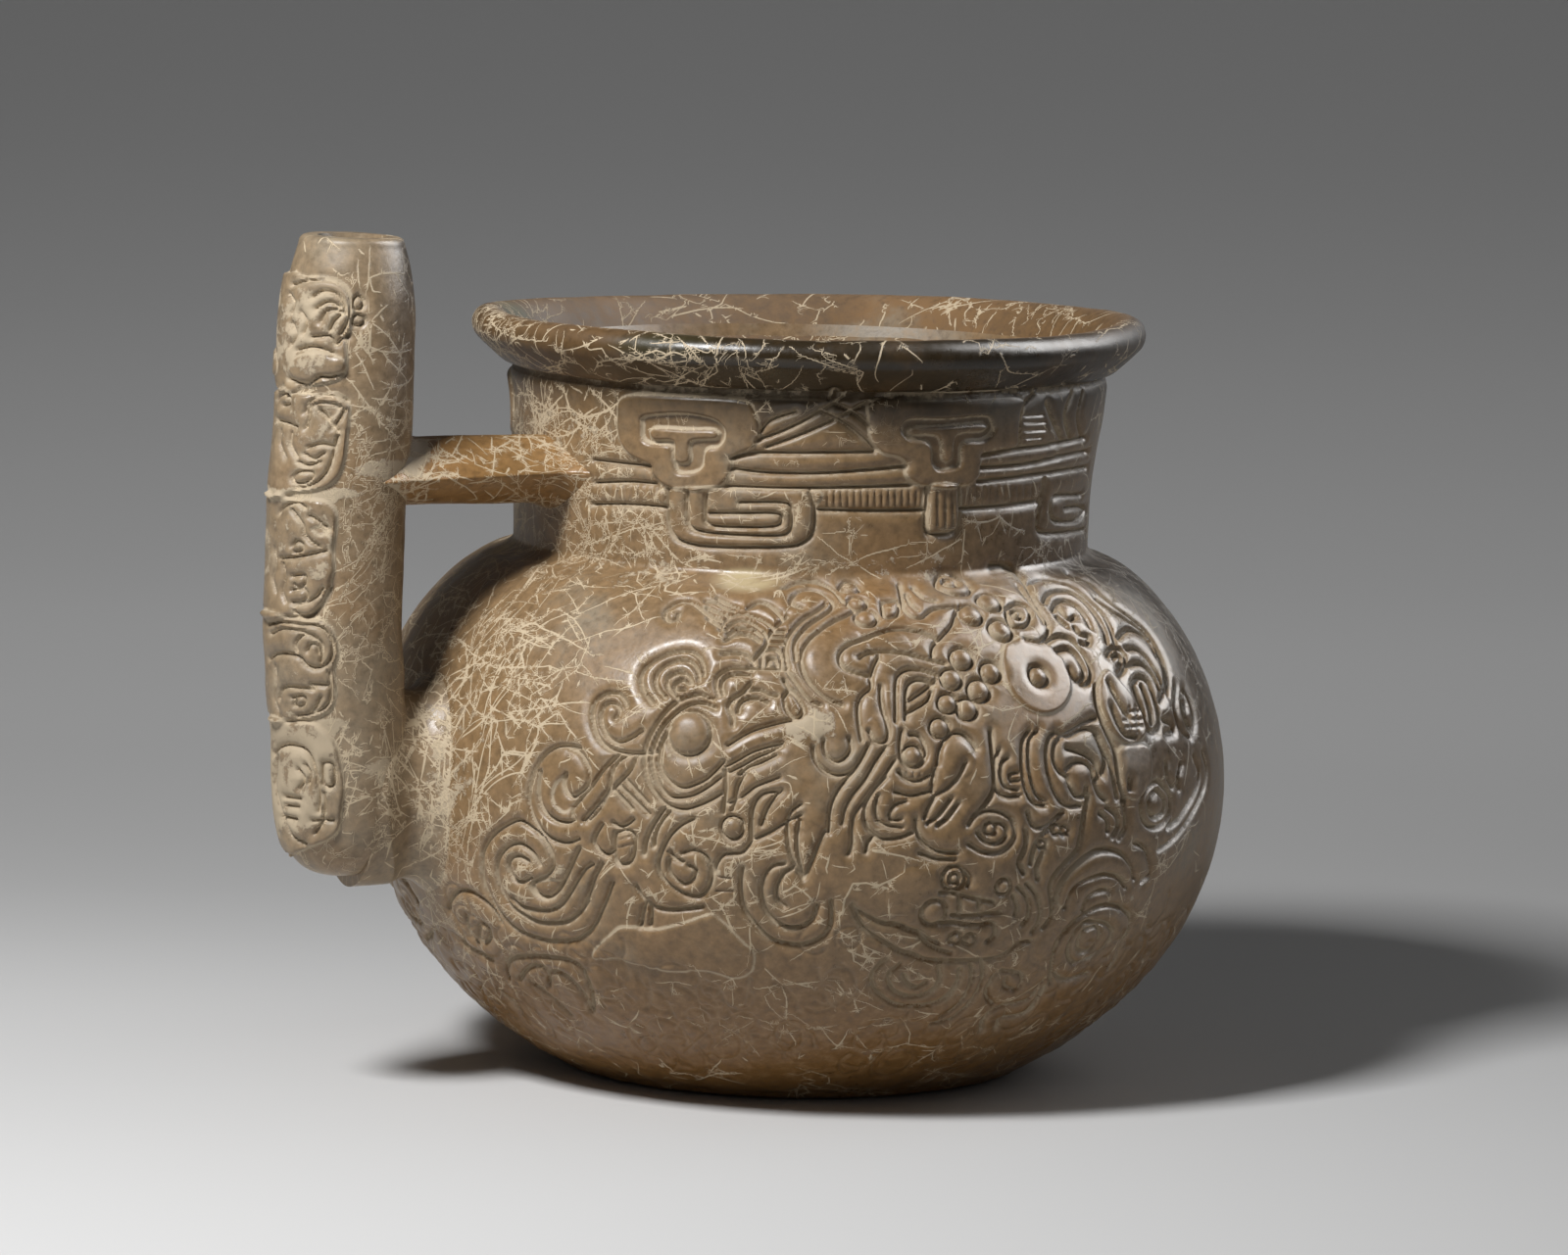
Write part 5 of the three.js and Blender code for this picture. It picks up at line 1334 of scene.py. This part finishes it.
def bar_grid(sizes, body):
    """Places of the bar: an almond section with sharp side ridges, run from the spout to the neck."""
    share = np.linspace(-1, 1, 400)
    upper = np.stack([-share, 1 - np.abs(share) ** 1.45], -1)
    lower = np.stack([share, -(1 - np.abs(share) ** 2.2)], -1)
    section = np.concatenate([upper, lower[1:-1]])
    scale = np.array((sizes.bar_half, sizes.bar_rise))
    fine = evenly(np.concatenate([section, section[:1]]) * scale, 0.1 * MM)[:-1]
    window = np.ones(7) / 7
    soft = np.stack([np.convolve(np.pad(part, 3, mode="wrap"), window, "valid") for part in fine.T], -1)
    section = evenly(np.concatenate([soft, soft[:1]]), 0.22 * MM) / scale
    across, upright = section[:, 0], section[:, 1]
    axis = -sizes.offset + (sizes.bar_height - sizes.lean_height) * math.tan(sizes.lean)
    y = sizes.bar_half * across
    start = axis + np.sqrt(np.maximum((7.4 * MM) ** 2 - y**2, (1.5 * MM) ** 2))
    end = -np.sqrt((body.neck_radius - 2.2 * MM) ** 2 - y**2)
    rows = []
    for share in np.linspace(0, 1, 130):
        x = start + share * (end - start)
        from_neck = np.hypot(x, y) - body.neck_radius
        from_spout = np.hypot(x - axis, y) - sizes.radius
        near_neck = 1 - between(from_neck, -1.5 * MM, 5 * MM)
        near_spout = 1 - between(from_spout, -0.5 * MM, 3 * MM)
        rise = sizes.bar_rise * (1.04 - 0.20 * share + 0.12 * near_spout**2)
        drop = sizes.bar_rise * (0.78 + 0.22 * share + 0.25 * near_neck**2)
        height = sizes.bar_height + 0.7 * MM * (share - 0.5) + upright * np.where(upright > 0, rise, drop)
        rows.append(np.stack([x, y * (1 + 0.40 * near_neck**2 + 0.08 * near_spout**2), height], -1))
    return capped(rows)


def joint_grid(sizes, body):
    """Places of the web between spout and belly, which spreads where it meets them."""
    turn = np.linspace(0, 2 * math.pi, 241)
    rows = []
    for x in np.linspace(-sizes.offset + 2.5 * MM, -0.059, 70):
        y, z = sizes.joint_half * np.cos(turn), sizes.joint_height + sizes.joint_reach * np.sin(turn)
        axis = -sizes.offset + (z - sizes.lean_height) * math.tan(sizes.lean)
        from_spout = np.hypot(x - axis, y) - sizes.radius
        from_belly = np.hypot(x, y) - body_radius(z, body)
        spread = (2.6 * MM * np.clip(1 - from_belly / (5 * MM), 0, 1.3) ** 2
                  + 1.2 * MM * np.clip(1 - from_spout / (4 * MM), 0, 1.2) ** 2)
        y, z = y + spread * np.cos(turn), z + 0.7 * spread * np.sin(turn)
        rows.append(np.stack([np.full_like(y, x), y, z], -1))
    return capped(rows)


def rim_inside(outline, start):
    """The inner line of the rim, from the lip down to the neck."""
    foot = outline[int(np.argmax(outline[:, 1] > start))]
    neck_inner = np.array((foot[0] - NECK_WALL, foot[1]))
    crest = outline[-1]
    return bend(crest, (crest[0] - 3 * MM, crest[1] - 1.2 * MM), neck_inner, 60)


class Shapes:
    """The surfaces and root marks that all pieces share, worked out once."""

    def __init__(self, context):
        body, spout = context.scene.jar_body, context.scene.jar_spout
        self.photo = Photograph()
        self.wall, self.spout = carved_wall(self.photo, context), carved_spout(self.photo, context)
        self.bar, self.joint = bar_grid(spout, body), joint_grid(spout, body)
        self.lip_start = body.neck_top + 0.6 * MM
        self.roots = Marks()
        around = np.linspace(0, 2 * math.pi, 420)
        inside = rim_inside(self.wall.outline, self.lip_start)
        full = evenly(np.concatenate([self.wall.outline, inside]), 0.9 * MM)
        wander(self.roots, self.wall.outward(turned(full, around)), 3000, 7, self.photo)
        tube = turned(evenly(self.spout.outline, 0.5 * MM), np.linspace(0, 2 * math.pi, 100))
        wander(self.roots, self.spout.outward(tube), 620, 11, self.photo)
        wander(self.roots, self.bar[::3, ::3], 200, 13, self.photo)
        wander(self.roots, self.joint[::3, ::2], 260, 17, self.photo)


_shapes = []


def shapes(context):
    """The shared shapes."""
    if not _shapes:
        _shapes.append(Shapes(context))
    return _shapes[0]


# Operators


class JAR_OT_body(bpy.types.Operator):
    """Builds the carved wall of the jar in rings, from the foot to the neck."""

    bl_idname = "jar.body"
    bl_label = "Build Carved Body"

    def execute(self, context):
        shared, sizes = shapes(context), context.scene.jar_body
        neck_start = sizes.shoulder_height + 2 * MM
        wall_clay = clay_named("burnished_clay")
        neck_clay = clay_named("neck_clay", warmth=0.3, greyness=0.45, smoke=0.3)
        trim_names = ("sign_", "bracket_", "hanging_", "cord_", "double_")
        trims = [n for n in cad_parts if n.startswith(trim_names)]
        rings = (
            ("wall_bowl_low", 6 * MM, 17 * MM, sizes.belly_radius, wall_clay, ["lower_bowl"]),
            ("wall_bowl_high", 17 * MM, 30 * MM, sizes.belly_radius, wall_clay, ["lower_bowl"]),
            ("wall_belly_low", 30 * MM, 46 * MM, sizes.belly_radius, wall_clay, ["belly_wall"]),
            ("wall_belly_high", 46 * MM, 63 * MM, sizes.belly_radius, wall_clay, ["belly_wall"]),
            ("wall_shoulder_low", 63 * MM, 72.5 * MM, sizes.belly_radius, wall_clay, ["shoulder"]),
            ("wall_shoulder_high", 72.5 * MM, neck_start, sizes.belly_radius, wall_clay, ["shoulder"]),
            ("neck_carved", neck_start, shared.lip_start, sizes.neck_radius, neck_clay,
             ["neck_collar", *trims]),
        )
        for name, low, high, radius, clay, nodes in rings:
            start = NEAR_START if name == "neck_carved" else BODY_START
            build_ring(name, shared, low, high, column_angles(radius, sizes, start), sizes, clay, nodes)
        build_foot(shared, sizes, wall_clay)
        build_rim(shared, sizes)
        return {"FINISHED"}


def build_ring(name, shared, low, high, angles, sizes, clay, nodes):
    """One carved ring of the wall, with its inner wall."""
    line, normals = stretch(shared.wall.outline, low, high, sizes.row_pitch)
    thickness = np.interp(line[:, 1], (0, sizes.shoulder_height, sizes.neck_top),
                          (sizes.wall, sizes.wall, NECK_WALL))
    inner = line - normals * thickness[:, None]
    rows = np.unique(np.linspace(0, len(inner) - 1, 9).astype(int))
    turned_piece(name, shared.wall, line, normals, inner[rows[::-1]], angles, shared.roots, clay,
                 nodes)


def build_foot(shared, sizes, clay):
    """The flat foot with the floor of the bowl."""
    line, normals = stretch(shared.wall.outline, 0.0, 6 * MM, 0.35 * MM)
    inner = line[-1] - normals[-1] * sizes.wall
    under = np.stack([np.linspace(0, line[0, 0], 16), np.zeros(16)], -1)
    floor = np.stack([np.linspace(inner[0] - 5 * MM, 0, 12), np.full(12, 6 * MM)], -1)
    down = np.tile((0.0, -1.0), (15, 1))
    line, normals = np.concatenate([under[:-1], line]), np.concatenate([down, normals])
    turned_piece("foot_disc", shared.wall, line, normals, np.concatenate([inner[None], floor]),
                 np.linspace(0, 2 * math.pi, 700), shared.roots, clay, ["base_disc"],
                 closed=False)


def build_rim(shared, sizes):
    """The flared rim with its rounded, slightly uneven lip and smooth inside."""
    outline = shared.wall.outline
    first = int(np.argmax(outline[:, 1] > shared.lip_start))
    before, after = outline[first - 1:first + 1]
    start_radius = np.interp(shared.lip_start, (before[1], after[1]), (before[0], after[0]))
    start = np.array([(start_radius, shared.lip_start)])
    outer = evenly(np.concatenate([start, outline[first:]]), 0.3 * MM)
    inside = rim_inside(outline, shared.lip_start)
    line = evenly(np.concatenate([outer, inside]), 0.3 * MM)
    angles = column_angles(sizes.neck_radius, sizes, NEAR_START)
    clay = clay_named("rim_clay", base=(0.125, 0.068, 0.024), warmth=0.45, greyness=0.15, smoke=0.35,
                      tint=(0.10, 0.10, 0.042), shine=0.06, inside_matt=0.4)
    # Rows of the outer face, where the rim is darkened: dark slip, partly painted shade under the lip
    outside = 1 - between(np.arange(len(line)), len(outer) - 7, len(outer) - 3)
    piece = turned_piece("rim_flared", shared.wall, line, normals_of(line), line[:0], angles, shared.roots,
                         clay, ["rim_flare"], dark=outside)
    places = np.empty(len(piece.data.vertices) * 3, np.float32)
    piece.data.vertices.foreach_get("co", places)
    places = places.reshape(-1, 3)
    share = between(places[:, 2], shared.lip_start, sizes.rim_top - 4 * MM)
    away = -(places[:, :2] @ shared.photo.back[:2]) / sizes.rim_radius
    left = -(places[:, :2] @ shared.photo.right[:2]) / sizes.rim_radius
    places[:, 2] -= share * MM * np.where(away > 0, (1.45 + 0.9 * left) * away, -0.3 * away)
    piece.data.vertices.foreach_set("co", places.ravel())
    piece.data.update()


class JAR_OT_spout(bpy.types.Operator):
    """Builds the upright spout with its bore and carved blocks."""

    bl_idname = "jar.spout"
    bl_label = "Build Spout"

    def execute(self, context):
        shared, sizes = shapes(context), context.scene.jar_spout
        clay = clay_named("spout_clay", base=(0.235, 0.170, 0.103), warmth=0.35, greyness=0.45, smoke=0.15)
        outer = evenly(shared.spout.outline, 0.3 * MM)
        outer[0, 0] = 0
        bore = evenly([(sizes.bore + 0.5 * MM, sizes.top), (sizes.bore, sizes.top - 0.7 * MM),
                       (sizes.bore, sizes.foot + 8 * MM)], 3 * MM)
        floor = np.stack([np.linspace(sizes.bore, 0, 6)[1:], np.full(5, sizes.foot + 8 * MM)], -1)
        blocks = [f"glyph_block_{i}" for i in range(1, 6)]
        turned_piece("spout_upright", shared.spout, outer, normals_of(outer), np.concatenate([bore, floor]),
                     np.linspace(NEAR_START, NEAR_START + 2 * math.pi, sizes.columns + 1), shared.roots, clay,
                     ["spout_end_cap", "spout_tube", "spout_mouth", *blocks], closed=False)
        return {"FINISHED"}


class JAR_OT_bar(bpy.types.Operator):
    """Builds the ridged bar between spout and neck and the joint with the belly."""

    bl_idname = "jar.bar"
    bl_label = "Build Bar and Joint"

    def execute(self, context):
        shared = shapes(context)
        bar_clay = clay_named("bar_clay", base=(0.235, 0.132, 0.050), warmth=0.7, greyness=0.1, smoke=0.2)
        joint_clay = clay_named("spout_clay")
        loft_piece("brace_bar_ridged", shared.bar, shared, BAR_EARTH, bar_clay, "brace_bar")
        loft_piece("spout_joint", shared.joint, shared, EARTH, joint_clay,
                   "spout_joint_pad")
        return {"FINISHED"}


def loft_piece(name, points, shared, earth, clay, node):
    """A closed piece from a grid of places, slightly uneven, with earth where the photograph shows it."""
    normals = grid_normals(points)
    flat = points.reshape(-1, 3)
    sway = 0.10 * MM * unevenness(flat, 12 * MM, 9) + 0.03 * MM * unevenness(flat, 4 * MM, 21)
    sway = sway.reshape(points.shape[:2]) * np.minimum(1, np.arange(points.shape[1]) / 4)[None]
    points = points + normals * sway[..., None]
    points[:, -1] = points[:, -1].mean(0)
    pixels = shared.photo.pixels_of(flat)
    crust = np.zeros(len(flat))
    for across, down, half_width, half_height, strength in earth.values():
        away = np.hypot((pixels[:, 0] - across) / half_width, (pixels[:, 1] - down) / half_height)
        crust = np.maximum(crust, strength * (1 - between(away, 0.45, 1.35)))
    fields = {"crust": crust, **root_fields(points.reshape(-1, 3), normals.reshape(-1, 3), shared.roots)}
    return clay_piece(name, points, fields, clay, [node])


class JAR_OT_stage(bpy.types.Operator):
    """Lays the sweep, hangs the lamps and sets the camera where the photograph was taken."""

    bl_idname = "jar.stage"
    bl_label = "Set the Stage"

    def execute(self, context):
        stage, photo = context.scene.jar_stage, Photograph()
        build_sweep(stage)
        hang_lamps(stage, photo)
        camera = bpy.data.objects.new("Camera", bpy.data.cameras.new("Camera"))
        context.scene.collection.objects.link(camera)
        turn = np.eye(4)
        turn[:3, 0], turn[:3, 1], turn[:3, 2], turn[:3, 3] = *photo.level, photo.back, photo.eye
        camera.matrix_world = Matrix(turn.tolist())
        camera.data.sensor_width = 36.0
        camera.data.lens = PHOTO_FOCAL * 36.0 / PHOTO_WIDTH
        camera.data.clip_start, camera.data.clip_end = 0.05, 30.0
        context.scene.camera = camera
        context.scene.view_settings.view_transform = "Standard"
        return {"FINISHED"}


def build_sweep(stage):
    """A floor that curves up behind the jar, in one sheet, set square to the camera."""
    bpy.ops.object.select_all(action="DESELECT")
    bpy.ops.mesh.primitive_plane_add(size=6.0, location=(0, -1.08, 0))
    sweep = bpy.context.object
    sweep.name = sweep.data.name = "sweep"
    bpy.ops.object.mode_set(mode="EDIT")
    bpy.ops.mesh.select_all(action="DESELECT")
    bpy.ops.object.mode_set(mode="OBJECT")
    for edge in sweep.data.edges:
        edge.select = all(sweep.data.vertices[v].co.y > 2.9 for v in edge.vertices)
    for vertex in sweep.data.vertices:
        vertex.select = vertex.co.y > 2.9
    bpy.ops.object.mode_set(mode="EDIT")
    bpy.ops.mesh.extrude_region_move(TRANSFORM_OT_translate={"value": (0, 0, 4.0)})
    bpy.ops.object.mode_set(mode="OBJECT")
    bevel = sweep.modifiers.new("curve", "BEVEL")
    bevel.width, bevel.segments, bevel.limit_method = 1.6, 24, "ANGLE"
    bpy.ops.object.modifier_apply(modifier="curve")
    bpy.ops.object.shade_smooth()
    sweep.data.transform(Matrix.Rotation(PHOTO_AZIMUTH, 4, "Z") @ sweep.matrix_world)
    sweep.matrix_world = Matrix.Identity(4)
    paper = Clay("sweep_paper_painted_light")
    place = paper.node("ShaderNodeTexCoord", output="Object")
    away = (-math.sin(PHOTO_AZIMUTH), math.cos(PHOTO_AZIMUTH), 1.0)
    behind = paper.vector("DOT_PRODUCT", place, away, "Value")
    # Painted light: the paper's grey is made lighter and darker with distance behind the jar and height up
    # the curve. This stands in for the lamps' light falling off over the sweep, with a lighter pool right
    # around the jar.
    level = 0.90 + behind.ramp(0.15, 0.5) * 0.48 - behind.ramp(0.6, 1.0) * 0.26
    level = level + behind.ramp(0.02, 0.17, 0.1, 0.0)
    brightest = 1.5
    grey = paper.node("ShaderNodeMix", {"data_type": "RGBA"},
                      {0: level / brightest, 6: (0, 0, 0, 1), 7: rgba(stage.floor_grey, brightest)}, output=2)
    shader = paper.node("ShaderNodeBsdfPrincipled", None,
                        {"Base Color": grey, "Roughness": 0.9, "Specular IOR Level": 0.1})
    paper.node("ShaderNodeOutputMaterial", None, {"Surface": shader})
    sweep.data.materials.append(paper.material)


def lamp(name, photo, azimuth, elevation, distance, size, power, colour=(1, 1, 1)):
    """A square soft lamp, placed by its direction from the camera's side of the jar."""
    azimuth, elevation = math.radians(azimuth), math.radians(elevation)
    toward = np.array((photo.back[0], photo.back[1], 0)) / np.hypot(*photo.back[:2])
    way = math.cos(elevation) * (math.sin(azimuth) * photo.right + math.cos(azimuth) * toward)
    way[2] += math.sin(elevation)
    light = bpy.data.lights.new(name, "AREA")
    light.shape, light.size, light.energy, light.color = "SQUARE", size, power, colour
    hung = bpy.data.objects.new(name, light)
    bpy.context.scene.collection.objects.link(hung)
    hung.location = Vector((0, 0, 0.06)) + Vector(way) * distance
    hung.rotation_mode = "QUATERNION"
    hung.rotation_quaternion = Vector(way).to_track_quat("Z", "Y")
    return hung


def hang_lamps(stage, photo):
    """Key from the upper left, two soft lamps behind on the right, and an even world."""
    lamp("key", photo, -39.5, 46.7, 0.555, 0.116, stage.key_power)
    lamp("side", photo, 112, 35, 0.9, 0.6, 0.4 * stage.side_power)
    sheen = lamp("sheen", photo, 105, 38, 0.9, 0.7, 17 * stage.side_power)
    sheen.visible_diffuse = False
    world = bpy.context.scene.world or bpy.data.worlds.new("World")
    bpy.context.scene.world = world
    world.use_nodes = True
    background = world.node_tree.nodes["Background"]
    background.inputs["Color"].default_value = (1, 1, 1, 1)
    background.inputs["Strength"].default_value = stage.world_level


class JAR_PT_panel(bpy.types.Panel):
    """Lists the steps that build the jar."""

    bl_idname = "JAR_PT_panel"
    bl_label = "Spouted Jar"
    bl_space_type = "VIEW_3D"
    bl_region_type = "UI"
    bl_category = "Jar"

    def draw(self, context):
        for step in STEPS:
            self.layout.operator(step.bl_idname)


STEPS = (JAR_OT_body, JAR_OT_spout, JAR_OT_bar, JAR_OT_stage)
GROUPS = {"jar_body": JarBodySizes, "jar_spout": JarSpoutSizes, "jar_colours": JarColours,
          "jar_stage": JarStage}


def register():
    for made in (*GROUPS.values(), *STEPS, JAR_PT_panel):
        bpy.utils.register_class(made)
    for name, group in GROUPS.items():
        setattr(bpy.types.Scene, name, PointerProperty(type=group))


def unregister():
    for name in GROUPS:
        delattr(bpy.types.Scene, name)
    for made in (JAR_PT_panel, *STEPS, *GROUPS.values()):
        bpy.utils.unregister_class(made)


def main():
    """Builds everything in order."""
    register()
    bpy.ops.jar.body()
    bpy.ops.jar.spout()
    bpy.ops.jar.bar()
    bpy.ops.jar.stage()


if __name__ == "__main__":
    main()
